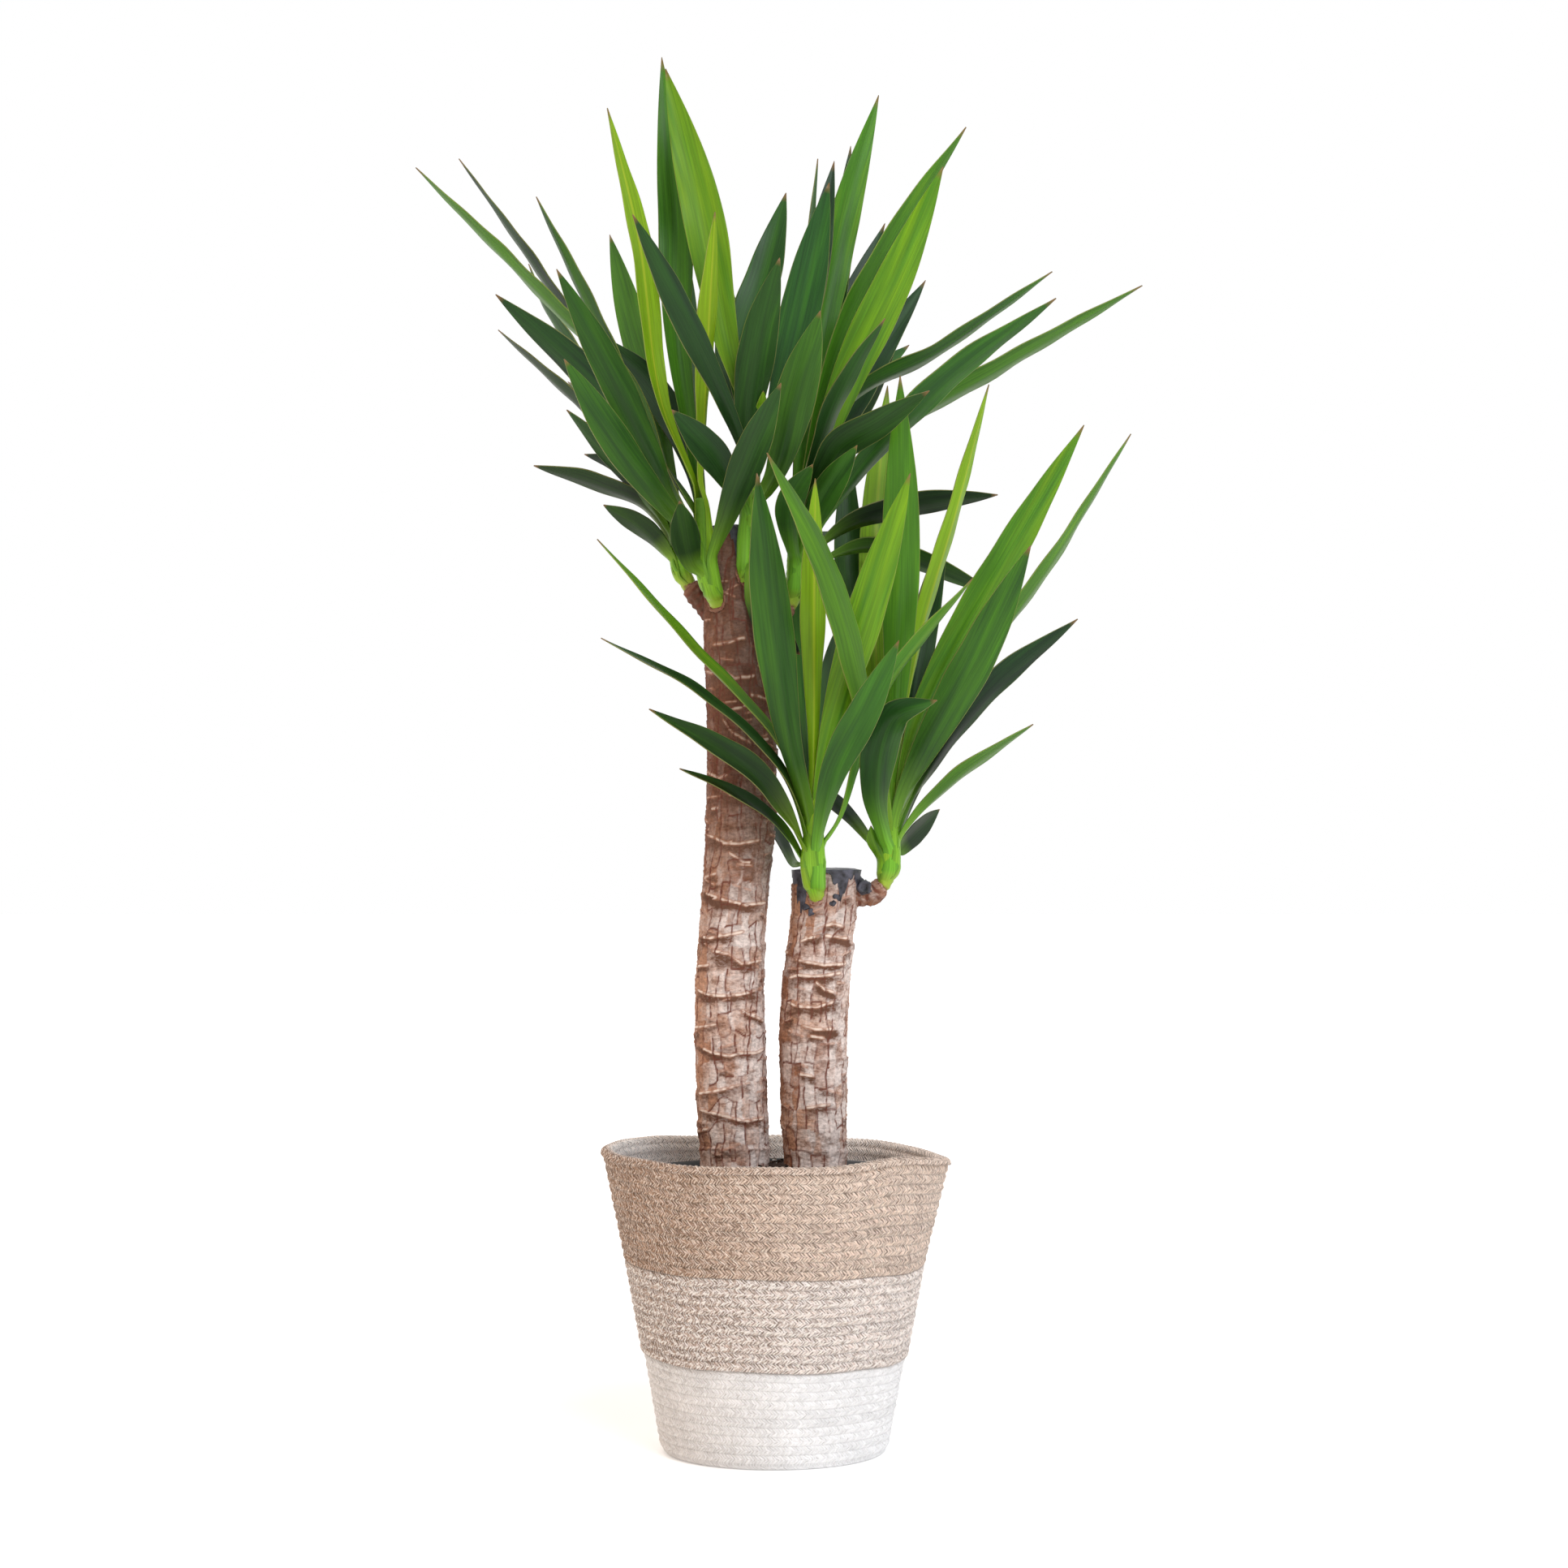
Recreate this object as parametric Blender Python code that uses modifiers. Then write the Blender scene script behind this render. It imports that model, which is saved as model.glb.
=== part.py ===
"""A potted yucca: two bare canes with six leafy shoots, in a nursery pot inside a basket of three braids.

Metres, +Z up. The origin is the middle of the basket's underside, and the front is -Y.
"""

import math
import random
from typing import NamedTuple

import bmesh
import bpy
import numpy as np
from mathutils.bvhtree import BVHTree

MM = 0.001
GAP = 0.3 * MM  # left between pieces that touch on the real plant
MERGE = 0.0001

# Basket
BASKET_HEIGHT = 235 * MM
BASE_RADIUS = 89.3 * MM
RIM_RADIUS = 135.5 * MM
BRAID_THICKNESS = 7 * MM
ROW_RELIEF = 1.1 * MM  # how far a braid row stands out of the seam between two rows
WHITE_TOP = 73 * MM
MIXED_TOP = 141 * MM
WHITE_ROWS = 10
MIXED_ROWS = 10
NATURAL_ROWS = 13
BASKET_SIDES = 24
FOOT_ROUNDING = 5 * MM

# Nursery pot
POT_FLOOR_RADIUS = 77.5 * MM
POT_RIM_RADIUS = 116.5 * MM
POT_TOP = 218.5 * MM
POT_WALL = 2 * MM
LIP_WIDTH = 3.5 * MM
LIP_HEIGHT = 12 * MM
DRAIN_HOLES = 6
DRAIN_CIRCLE = 52 * MM
DRAIN_RADIUS = 7 * MM
DRAIN_SIDES = 10
DRAIN_DEPTH = 12 * MM
POT_SIDES = 24

# Potting soil
SOIL_EDGE = 212 * MM
SOIL_MOUND = 226 * MM
MOUND_WIDTH = 62 * MM

# Canes
CANE_SIDES = 12
STRAIGHT_TO = 232 * MM  # below this the cane is a plain round post, where the soil holds it
RIDGE_SPACING = (17 * MM, 27 * MM)
RIDGE_HEIGHT = (0.5 * MM, 1.5 * MM)
RIDGE_LIP = 2.4 * MM
RIDGE_TILT = 3 * MM
CUT_CHAMFER = 2 * MM
WAX_THICKNESS = 1.5 * MM

# Leaves
BLADE_THICKNESS = 0.8 * MM
LONG_BLADE = 250 * MM
LONG_STATIONS = (0, 0.1, 0.3, 0.55, 0.8, 1)
SHORT_STATIONS = (0, 0.14, 0.44, 0.76, 1)
WIDTH_STATIONS = (0, 0.07, 0.2, 0.36, 0.56, 0.74, 0.89, 1)
BLADE_WIDTHS = (0.42, 0.32, 0.42, 0.7, 1, 0.85, 0.45, 0.02)
CHANNEL_STATIONS = (0, 0.15, 0.5, 1)
CHANNEL_DEPTHS = (0.6, 0.4, 0.22, 0.1)  # of half the blade's width
BLADE_MARGIN = 1.1 * MM  # kept on each face of a blade towards the leaves of another shoot
NUDGES = tuple(sign * step * 12 * MM for step in range(13) for sign in (1, -1))
FREE_FROM = 0.12  # share of its length past which a leaf keeps clear of other shoots
FAN_FROM = 0.45  # share past which it also keeps clear of its own shoot's leaves
CLASP_TO = 0.35  # share of its length over which a leaf turns from clasping the stem to its own angle
ROOT_OFFSET = 3.5 * MM  # from the stem's axis, on the leaf's own side
UPPER_FACE_UP = 0.7  # how much a blade's upper face looks up, against 1 towards the stem
STEM_RINGS = 6
STEM_SAMPLES = 60
STUB_STRAIGHT = 3 * MM  # of the stem, before it bends away from its stub

# The eye that the leaves' routes are drawn for
EYE_X = 7.4 * MM
EYE_DISTANCE = 2.541
EYE_HEIGHT = 0.475


class Cane(NamedTuple):
    """A trunk section: foot, sawn top, and (height, middle, radius) up its length, in millimetres."""

    name: str
    foot: float
    top: float
    shape: tuple
    seed: int


class Shoot(NamedTuple):
    """A green stem with its leaves. Stub and stem are (x, y, z, radius) in millimetres, from the foot up.

    A stem with no stub grows from the cane's side: its foot lies inside the cane and is cut back to the bark.
    """

    name: str
    cane: str
    stub: tuple
    stem: tuple
    leaves: tuple


class Leaf(NamedTuple):
    """A blade. Its route is (x, z) in millimetres on the plane of the canes, as the eye in front sees it."""

    rise: float  # where it leaves the stem: 0 at the foot, 1 at the stem's end
    route: tuple
    depth: float  # of the tip, in millimetres behind that plane
    width: float  # in millimetres
    turn: float  # in degrees about its own line at the root, 0 where its whole face shows to the front
    twist: float  # the same at the tip


TALL_CANE = Cane(
    "tall_cane",
    127,
    727,
    (
        (127, -31.4, 27.2), (232, -31.4, 27.2), (269, -33.3, 27.5), (328, -35.2, 27.5), (367, -35.5, 26.6),
        (406, -33.6, 26), (446, -30.4, 26), (478, -27.8, 26.6), (503, -26.9, 27), (554, -25.6, 27),
        (580, -27.5, 25.8), (606, -29.1, 25), (631, -31.4, 24), (657, -33, 22.8), (695, -33.5, 20.5),
        (727, -34, 18.5),
    ),
    5,
)
SHORT_CANE = Cane(
    "short_cane",
    157,
    457,
    (
        (157, 32, 24.6), (232, 32, 24.6), (269, 30.7, 25.6), (328, 30.4, 26.6), (367, 32.6, 26.3),
        (406, 36.8, 25.4), (431, 39.7, 25.6), (457, 41, 26.2),
    ),
    11,
)
CANES = {cane.name: cane for cane in (TALL_CANE, SHORT_CANE)}

SHOOTS = (
    Shoot(
        "tall_cane_front_left_shoot",
        "tall_cane",
        (),
        ((-44, -16, 665, 8.5), (-50, -26, 679, 9), (-53, -30, 698, 9.5), (-57, -32, 747, 6)),
        (
            Leaf(0.95, ((-91, 831), (-107, 951), (-132, 1058)), -20, 24, 35, 50),
            Leaf(0.85, ((-76, 868), (-79, 970), (-89, 1098)), 30, 28, 15, 0),
            Leaf(0.75, ((-70, 868), (-74, 964)), 150, 26, -20, 0),
            Leaf(0.9, ((-57, 759), (-53, 868), (-47, 976)), -50, 22, 62, 40),
            Leaf(0.6, ((-70, 734), (-121, 836), (-172, 931)), -80, 27, 25, 10),
            Leaf(0.55, ((-80, 751), (-140, 837), (-220, 911)), 10, 30, -40, -30),
            Leaf(0.45, ((-80, 737), (-121, 791), (-166, 860)), -120, 27, 20, 10),
            Leaf(0.2, ((-66, 702), (-75, 748)), -85, 24, 0, 0),
            Leaf(0.3, ((-38, 734), (-19, 785), (5, 841)), -150, 27, 10, 0),
            Leaf(0.7, ((-99, 794), (-142, 890), (-188, 988)), 60, 24, -62, -66),
            Leaf(0.65, ((-67, 785), (-99, 842), (-136, 878)), 120, 26, -20, 0),
        ),
    ),
    Shoot(
        "tall_cane_back_left_shoot",
        "tall_cane",
        ((-45, 5, 655, 9), (-56, 9, 668, 8.5), (-66, 12, 680, 8)),
        ((-74, 14, 699, 9), (-78, 16, 745, 6)),
        (
            Leaf(0.8, ((-108, 830), (-172, 897), (-201, 927), (-283, 1011)), 70, 26, -68, -72),
            Leaf(0.85, ((-140, 855), (-188, 930), (-249, 1018)), 150, 24, -72, -76),
            Leaf(0.9, ((-140, 836), (-181, 901), (-194, 935)), 210, 24, -60, -70),
            Leaf(0.55, ((-144, 810), (-182, 849), (-218, 883)), 120, 24, -70, -76),
            Leaf(0.45, ((-99, 746), (-137, 791), (-164, 820)), 20, 24, -40, -50),
            Leaf(0.4, ((-105, 759), (-128, 777), (-150, 785)), 80, 22, -55, -45),
            Leaf(0.25, ((-99, 740), (-140, 761), (-190, 776)), 40, 24, -60, -55),
            Leaf(0.15, ((-83, 702), (-105, 726), (-135, 745)), 0, 24, -55, -45),
            Leaf(0.95, ((-94, 823), (-112, 887), (-130, 958)), 170, 26, 10, 0),
            Leaf(0.7, ((-105, 785), (-163, 842)), 250, 28, 20, 10),
            Leaf(0.6, ((-99, 810), (-115, 887)), 290, 28, 10, 0),
        ),
    ),
    Shoot(
        "tall_cane_front_right_shoot",
        "tall_cane",
        (),
        ((-26, -12, 680, 8), (-22, -21, 694, 8.5), (-20, -26, 714, 9.5), (-17, -28, 795, 6)),
        (
            Leaf(0.9, ((-39, 874), (-59, 983), (-86, 1089)), -10, 34, 15, 0),
            Leaf(0.7, ((-37, 823), (-67, 887), (-112, 974)), -150, 24, 30, 20),
            Leaf(0.4, ((-41, 775), (-81, 820)), -120, 26, 10, 0),
            Leaf(0.8, ((-25, 862), (-6, 932), (9, 991)), 30, 32, -20, -10),
            Leaf(0.75, ((-25, 855), (-18, 938)), 130, 26, 0, 0),
            Leaf(0.6, ((-21, 810), (-11, 881), (4, 940)), -60, 31, 10, 0),
            Leaf(0.65, ((-6, 785), (20, 897), (43, 999)), -20, 33, 10, 0),
            Leaf(0.7, ((4, 810), (29, 919), (47, 1016)), 60, 26, -10, 0),
            Leaf(0.95, ((-10, 800), (-9, 835)), -40, 12, 30, 30),
            Leaf(0.45, ((2, 772), (18, 836), (36, 898)), -110, 33, 10, 0),
            Leaf(0.15, ((-23, 687), (-6, 652), (20, 627)), -45, 26, 20, 0),
            Leaf(0.6, ((-32, 836), (-38, 926)), 180, 28, 0, 0),
        ),
    ),
    Shoot(
        "tall_cane_right_shoot",
        "tall_cane",
        ((-22, 6, 646, 10), (-6, 11, 654, 9), (4, 14, 660, 8.5), (10, 15, 666, 8)),
        ((16, 16, 681, 9.5), (16, 16, 745, 6)),
        (
            Leaf(0.95, ((28, 836), (53, 964), (82, 1068)), 20, 28, 20, 10),
            Leaf(0.85, ((36, 855), (52, 951), (60, 1028)), 80, 24, 10, 0),
            Leaf(0.75, ((20, 887), (34, 1018)), 130, 18, 66, 66),
            Leaf(0.8, ((52, 868), (100, 964), (151, 1043)), 0, 26, 50, 48),
            Leaf(0.7, ((52, 830), (96, 926), (133, 1012)), -50, 33, 10, 0),
            Leaf(0.65, ((48, 868), (87, 967)), 100, 26, -20, -10),
            Leaf(0.6, ((74, 849), (119, 922)), 130, 26, -20, 0),
            Leaf(0.5, ((80, 855), (105, 918)), 180, 26, 0, 0),
            Leaf(0.55, ((42, 807), (64, 855), (87, 892)), -90, 22, 55, 45),
            Leaf(0.45, ((55, 820), (132, 867), (219, 929)), 20, 26, 66, 70),
            Leaf(0.3, ((61, 762), (135, 842), (222, 908)), -30, 29, 40, 50),
            Leaf(0.35, ((48, 785), (84, 810), (122, 835)), -100, 28, 25, 20),
            Leaf(0.4, ((87, 794), (183, 855), (290, 918)), 60, 26, 58, 66),
            Leaf(0.25, ((52, 724), (112, 744), (176, 753)), 70, 26, 55, 40),
            Leaf(0.2, ((68, 711), (119, 697), (176, 673)), 90, 24, 50, 50),
            Leaf(0.2, ((32, 713), (43, 724)), 130, 22, 0, 0),
            Leaf(0.3, ((13, 746), (30, 777)), -80, 24, 20, 10),
            Leaf(0.35, ((36, 746), (65, 792)), -80, 24, 10, 0),
            Leaf(0.7, ((74, 842), (106, 871)), 240, 28, -20, 0),
            Leaf(0.9, ((42, 874), (58, 932)), 250, 28, 0, 0),
        ),
    ),
    Shoot(
        "short_cane_front_shoot",
        "short_cane",
        (),
        ((34, -20, 435, 8.5), (31, -31, 447, 9), (30, -37, 463, 10), (30, -39, 527, 6)),
        (
            Leaf(0.6, ((45, 567), (75, 670), (107, 770)), -90, 31, 10, 0),
            Leaf(0.5, ((11, 567), (-3, 670), (-14, 770)), -130, 33, 10, 10),
            Leaf(0.95, ((31, 567), (31, 657), (32, 766)), -80, 22, 20, 20),
            Leaf(0.3, ((45, 529), (73, 586), (98, 638)), -170, 27, 10, 0),
            Leaf(0.4, ((7, 548), (-60, 626), (-140, 718)), -70, 24, 66, 74),
            Leaf(0.35, ((4, 535), (-60, 596), (-137, 640)), -90, 22, 62, 74),
            Leaf(0.3, ((-3, 519), (-32, 545), (-99, 584)), -110, 26, 20, 60),
            Leaf(0.2, ((4, 490), (-35, 519), (-75, 537)), -60, 20, 58, 66),
            Leaf(0.2, ((13, 463), (0, 487), (-19, 513)), 50, 16, 50, 50),
            Leaf(0.35, ((55, 503), (87, 599), (156, 687)), -40, 22, 62, 60),
            Leaf(0.8, ((23, 593), (20, 695)), 150, 28, 0, 0),
            Leaf(0.7, ((42, 580), (61, 670)), 170, 28, 0, 0),
        ),
    ),
    Shoot(
        "short_cane_right_shoot",
        "short_cane",
        ((46, 0, 434, 11), (66, 0, 438.5, 10.5), (78, 0, 439, 9), (83.5, 0, 443.5, 7.5)),
        ((90, 0, 459, 9.5), (91, 0, 515, 6)),
        (
            Leaf(0.8, ((98, 631), (100, 734), (99, 847)), -30, 32, 10, 0),
            Leaf(0.75, ((80, 618), (80, 727), (89, 839)), 30, 30, 15, 10),
            Leaf(0.65, ((69, 618), (59, 702), (57, 798)), 80, 28, 10, 0),
            Leaf(0.5, ((74, 580), (42, 695), (-6, 786)), -130, 28, 38, 40),
            Leaf(0.2, ((70, 484), (48, 508), (7, 538)), 30, 18, 40, 50),
            Leaf(0.25, ((80, 519), (93, 577), (128, 591)), -130, 30, 10, 0),
            Leaf(0.55, ((116, 580), (183, 702), (244, 808)), 10, 31, 15, 20),
            Leaf(0.4, ((105, 522), (160, 625), (202, 713)), -60, 34, 15, 10),
            Leaf(0.45, ((151, 599), (221, 702), (281, 801)), 60, 26, 62, 68),
            Leaf(0.35, ((119, 531), (170, 599), (239, 655)), 40, 26, 40, 35),
            Leaf(0.25, ((103, 487), (144, 529), (204, 572)), 0, 22, 58, 66),
            Leaf(0.2, ((96, 471), (130, 505)), 70, 20, 30, 40),
            Leaf(0.9, ((114, 638), (143, 740), (169, 840)), 0, 22, 55, 55),
            Leaf(0.7, ((109, 599), (122, 670), (137, 730)), 70, 24, 20, 0),
            Leaf(0.15, ((78, 468), (76, 492)), -18, 14, 30, 30),
            Leaf(0.4, ((132, 567), (167, 631)), 220, 28, 0, 0),
            Leaf(0.6, ((93, 618), (94, 734)), 220, 28, 0, 0),
            Leaf(0.2, ((106, 529), (132, 580)), 180, 26, 0, 0),
        ),
    ),
)


def clear_scene():
    for old in list(bpy.data.objects):
        bpy.data.objects.remove(old, do_unlink=True)


def new_collection(name):
    collection = bpy.data.collections.new(name)
    bpy.context.scene.collection.children.link(collection)
    return collection


def material(name, colour, roughness):
    made = bpy.data.materials.new(name)
    made.use_nodes = True
    shader = made.node_tree.nodes["Principled BSDF"]
    shader.inputs["Base Color"].default_value = (*colour, 1)
    shader.inputs["Roughness"].default_value = roughness
    shader.inputs["Metallic"].default_value = 0
    return made


def add_object(name, points, faces, collection, edges=()):
    mesh = bpy.data.meshes.new(name)
    mesh.from_pydata([tuple(map(float, p)) for p in points], list(edges), [tuple(map(int, f)) for f in faces])
    made = bpy.data.objects.new(name, mesh)
    collection.objects.link(made)
    return made


def turned(name, outline, sides, collection):
    """A solid of revolution about Z from (radius, height) points that run down the outer side."""
    count = len(outline)
    on_axis = outline[0][0] == 0
    edges = [(i, i + 1) for i in range(count - 1)]
    if not on_axis:
        edges.append((count - 1, 0))
    made = add_object(name, [(r, 0, z) for r, z in outline], [], collection, edges)
    screw = made.modifiers.new("turn", "SCREW")
    screw.steps = sides
    screw.render_steps = sides
    screw.use_merge_vertices = True
    screw.merge_threshold = MERGE
    return made


def make_cutter(made, cutters):
    made.hide_render = True
    made.display_type = "WIRE"
    for holder in list(made.users_collection):
        holder.objects.unlink(made)
    cutters.objects.link(made)
    return made


def cut(made, cutter):
    step = made.modifiers.new("cut", "BOOLEAN")
    step.operation = "DIFFERENCE"
    step.object = cutter


def island_of(face, left):
    """The faces joined to this one, taken out of those left."""
    found = [face]
    left.discard(face)
    for current in found:
        for edge in current.edges:
            for neighbour in edge.link_faces:
                if neighbour in left:
                    left.discard(neighbour)
                    found.append(neighbour)
    return found


def keep_largest_body(build):
    """Fills the hollows that joining seals and drops loose scraps: only the largest skin stays."""
    bmesh.ops.triangulate(build, faces=build.faces)
    left = set(build.faces)
    islands = []
    while left:
        faces = island_of(next(iter(left)), left)
        volume = sum(f.verts[0].co.dot(f.verts[1].co.cross(f.verts[2].co)) for f in faces)
        islands.append((volume, faces))
    islands.sort(key=lambda island: island[0])
    unwanted = [face for _, faces in islands[:-1] for face in faces]
    bmesh.ops.delete(build, geom=unwanted, context="FACES")


def applied(made, one_body=False):
    """The object with its modifiers applied, or a curve turned into a closed mesh, under the same name."""
    graph = bpy.context.evaluated_depsgraph_get()
    mesh = bpy.data.meshes.new_from_object(made.evaluated_get(graph))
    build = bmesh.new()
    build.from_mesh(mesh)
    bmesh.ops.remove_doubles(build, verts=build.verts, dist=MERGE / 10)
    if one_body:
        keep_largest_body(build)
    build.to_mesh(mesh)
    build.free()
    name = made.name
    collection = made.users_collection[0]
    place = made.matrix_world.copy()
    bpy.data.objects.remove(made, do_unlink=True)
    result = bpy.data.objects.new(name, mesh)
    result.matrix_world = place
    collection.objects.link(result)
    return result


def fused(host, collection_of_pieces, solver="EXACT"):
    """The host joined with every object of a collection into one body, with that collection emptied."""
    join = host.modifiers.new("join", "BOOLEAN")
    join.operation = "UNION"
    join.operand_type = "COLLECTION"
    join.collection = collection_of_pieces
    join.solver = solver
    result = applied(host, one_body=True)
    for piece in list(collection_of_pieces.objects):
        bpy.data.objects.remove(piece, do_unlink=True)
    return result


def unit(vector):
    return vector / np.linalg.norm(vector)


def smooth_curve(points, start):
    """Close points on a smooth curve through the given ones, and the length up to each.

    It is made of cubic pieces. The slope at an inner point is that of its two neighbours, and at the first
    point it is halfway to the start direction.
    """
    points = np.asarray(points, float)
    chords = np.linalg.norm(np.diff(points, axis=0), axis=1)
    knots = np.concatenate([[0], np.cumsum(chords)])
    slopes = np.empty_like(points)
    slopes[1:-1] = (points[2:] - points[:-2]) / (knots[2:] - knots[:-2])[:, None]
    slopes[0] = unit(unit(points[1] - points[0]) + start)
    slopes[-1] = unit(points[-1] - points[-2])
    along = np.linspace(0, knots[-1], 16 * len(points))
    piece = np.clip(np.searchsorted(knots, along, side="right") - 1, 0, len(chords) - 1)
    span = chords[piece][:, None]
    t = ((along - knots[piece]) / chords[piece])[:, None]
    curve = (
        (1 + 2 * t) * (1 - t) ** 2 * points[piece]
        + t * (1 - t) ** 2 * span * slopes[piece]
        + t**2 * (3 - 2 * t) * points[piece + 1]
        - t**2 * (1 - t) * span * slopes[piece + 1]
    )
    return curve, np.concatenate([[0], np.cumsum(np.linalg.norm(np.diff(curve, axis=0), axis=1))])


def at_shares(curve, lengths, shares):
    """The curve's points at these shares of its length."""
    wanted = np.asarray(shares, float) * lengths[-1]
    return np.stack([np.interp(wanted, lengths, curve[:, axis]) for axis in range(3)], axis=1)


def grown_tube(name, table, collection, count):
    """A closed tapering tube through (x, y, z, radius) stations, with its end faces square to its ends."""
    first = unit(table[1, :3] - table[0, :3])
    last = unit(table[-1, :3] - table[-2, :3])
    shares = np.linspace(0, 1, count)
    points = at_shares(*smooth_curve(table[:, :3], first), shares)
    reach = np.linalg.norm(np.diff(table[:, :3], axis=0), axis=1)
    radii = np.interp(shares, np.concatenate([[0], np.cumsum(reach)]) / reach.sum(), table[:, 3])
    step = np.linalg.norm(points[1] - points[0])
    points[1] = points[0] + first * step
    points[-2] = points[-1] - last * step
    curve = bpy.data.curves.new(name, "CURVE")
    curve.dimensions = "3D"
    curve.bevel_depth = 1
    curve.bevel_resolution = 2
    curve.use_fill_caps = True
    line = curve.splines.new("POLY")
    line.points.add(count - 1)
    for spot, place, radius in zip(line.points, points, radii):
        spot.co = (*place, 1)
        spot.radius = radius
    made = bpy.data.objects.new(name, curve)
    collection.objects.link(made)
    return applied(made)


def basket_radius(height):
    return BASE_RADIUS + (RIM_RADIUS - BASE_RADIUS) * height / BASKET_HEIGHT


def braid_rows(bottom, top, rows):
    """The outer side of a band from its top down: each row swells out between two seams."""
    outline = []
    for k in range(2 * rows + 1):
        height = top + (bottom - top) * k / (2 * rows)
        outline.append((basket_radius(height) - (0 if k % 2 else ROW_RELIEF), height))
    return outline


def inner_point(height):
    return (basket_radius(height) - BRAID_THICKNESS, height)


def make_basket(parts, looks):
    white = braid_rows(FOOT_ROUNDING, WHITE_TOP, WHITE_ROWS)
    floor = BRAID_THICKNESS
    outline = [(0, floor), (inner_point(floor)[0] - FOOT_ROUNDING, floor), inner_point(floor + FOOT_ROUNDING)]
    outline += [inner_point(WHITE_TOP), *white]
    flat = BASE_RADIUS - FOOT_ROUNDING
    outline += [(flat + FOOT_ROUNDING / 2, FOOT_ROUNDING / 4), (flat, 0), (0, 0)]
    made = turned("basket_white_braid", outline, BASKET_SIDES, parts)
    made.data.materials.append(looks["white braid"])

    bottom = WHITE_TOP + GAP
    outline = [inner_point(bottom), inner_point(MIXED_TOP), *braid_rows(bottom, MIXED_TOP, MIXED_ROWS)]
    made = turned("basket_mixed_braid", outline, BASKET_SIDES, parts)
    made.data.materials.append(looks["mixed braid"])

    bottom = MIXED_TOP + GAP
    shoulder = BASKET_HEIGHT - BRAID_THICKNESS / 3
    rim = basket_radius(BASKET_HEIGHT)
    outline = [inner_point(bottom), inner_point(shoulder), (rim - 0.7 * BRAID_THICKNESS, BASKET_HEIGHT)]
    outline += [(rim - 0.3 * BRAID_THICKNESS, BASKET_HEIGHT), *braid_rows(bottom, shoulder, NATURAL_ROWS)]
    made = turned("basket_natural_braid", outline, BASKET_SIDES, parts)
    made.data.materials.append(looks["natural braid"])


def pot_radius(height):
    """Outer radius of the nursery pot's wall."""
    foot = BRAID_THICKNESS + GAP
    return POT_FLOOR_RADIUS + (POT_RIM_RADIUS - POT_FLOOR_RADIUS) * (height - foot) / (POT_TOP - foot)


def make_nursery_pot(parts, cutters, looks):
    foot = BRAID_THICKNESS + GAP
    floor = foot + POT_WALL
    lip = POT_RIM_RADIUS + LIP_WIDTH
    under = POT_TOP - LIP_HEIGHT
    outline = [
        (0, floor),
        (pot_radius(floor) - POT_WALL, floor),
        (POT_RIM_RADIUS - POT_WALL, POT_TOP),
        (lip, POT_TOP),
        (lip, under),
        (pot_radius(under), under),
        (POT_FLOOR_RADIUS, foot),
        (0, foot),
    ]
    pot = turned("nursery_pot", outline, POT_SIDES, parts)
    pot.data.materials.append(looks["pot plastic"])
    for k in range(DRAIN_HOLES):
        angle = 2 * math.pi * k / DRAIN_HOLES
        place = (DRAIN_CIRCLE * math.cos(angle), DRAIN_CIRCLE * math.sin(angle), foot)
        bpy.ops.mesh.primitive_cylinder_add(
            vertices=DRAIN_SIDES, radius=DRAIN_RADIUS, depth=DRAIN_DEPTH, location=place
        )
        hole = make_cutter(bpy.context.object, cutters)
        hole.name = f"drain_hole_cutter_{k + 1}"
        cut(pot, hole)


def make_soil(parts, cutters, looks):
    bottom = BRAID_THICKNESS + POT_WALL + 2 * GAP
    clear = POT_WALL + GAP
    edge = pot_radius(SOIL_EDGE) - clear
    outline = []
    for radius in (0, 0.25 * edge, 0.5 * edge, 0.75 * edge):
        rise = (SOIL_MOUND - SOIL_EDGE) * math.exp(-((radius / MOUND_WIDTH) ** 2))
        outline.append((radius, SOIL_EDGE + rise))
    outline += [(edge, SOIL_EDGE), (pot_radius(bottom) - clear, bottom), (0, bottom)]
    soil = turned("potting_soil", outline, POT_SIDES, parts)
    soil.data.materials.append(looks["soil"])
    for cane in CANES.values():
        height, middle, radius = cane.shape[0]
        foot = height * MM - GAP
        deep = 2 * (SOIL_MOUND - foot)
        wide = radius * MM + GAP / math.cos(math.pi / CANE_SIDES)
        place = (middle * MM, 0, foot + deep / 2)
        bpy.ops.mesh.primitive_cylinder_add(
            vertices=CANE_SIDES, radius=wide, depth=deep, location=place
        )
        hole = make_cutter(bpy.context.object, cutters)
        hole.name = f"{cane.name}_hole_cutter"
        cut(soil, hole)


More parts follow.
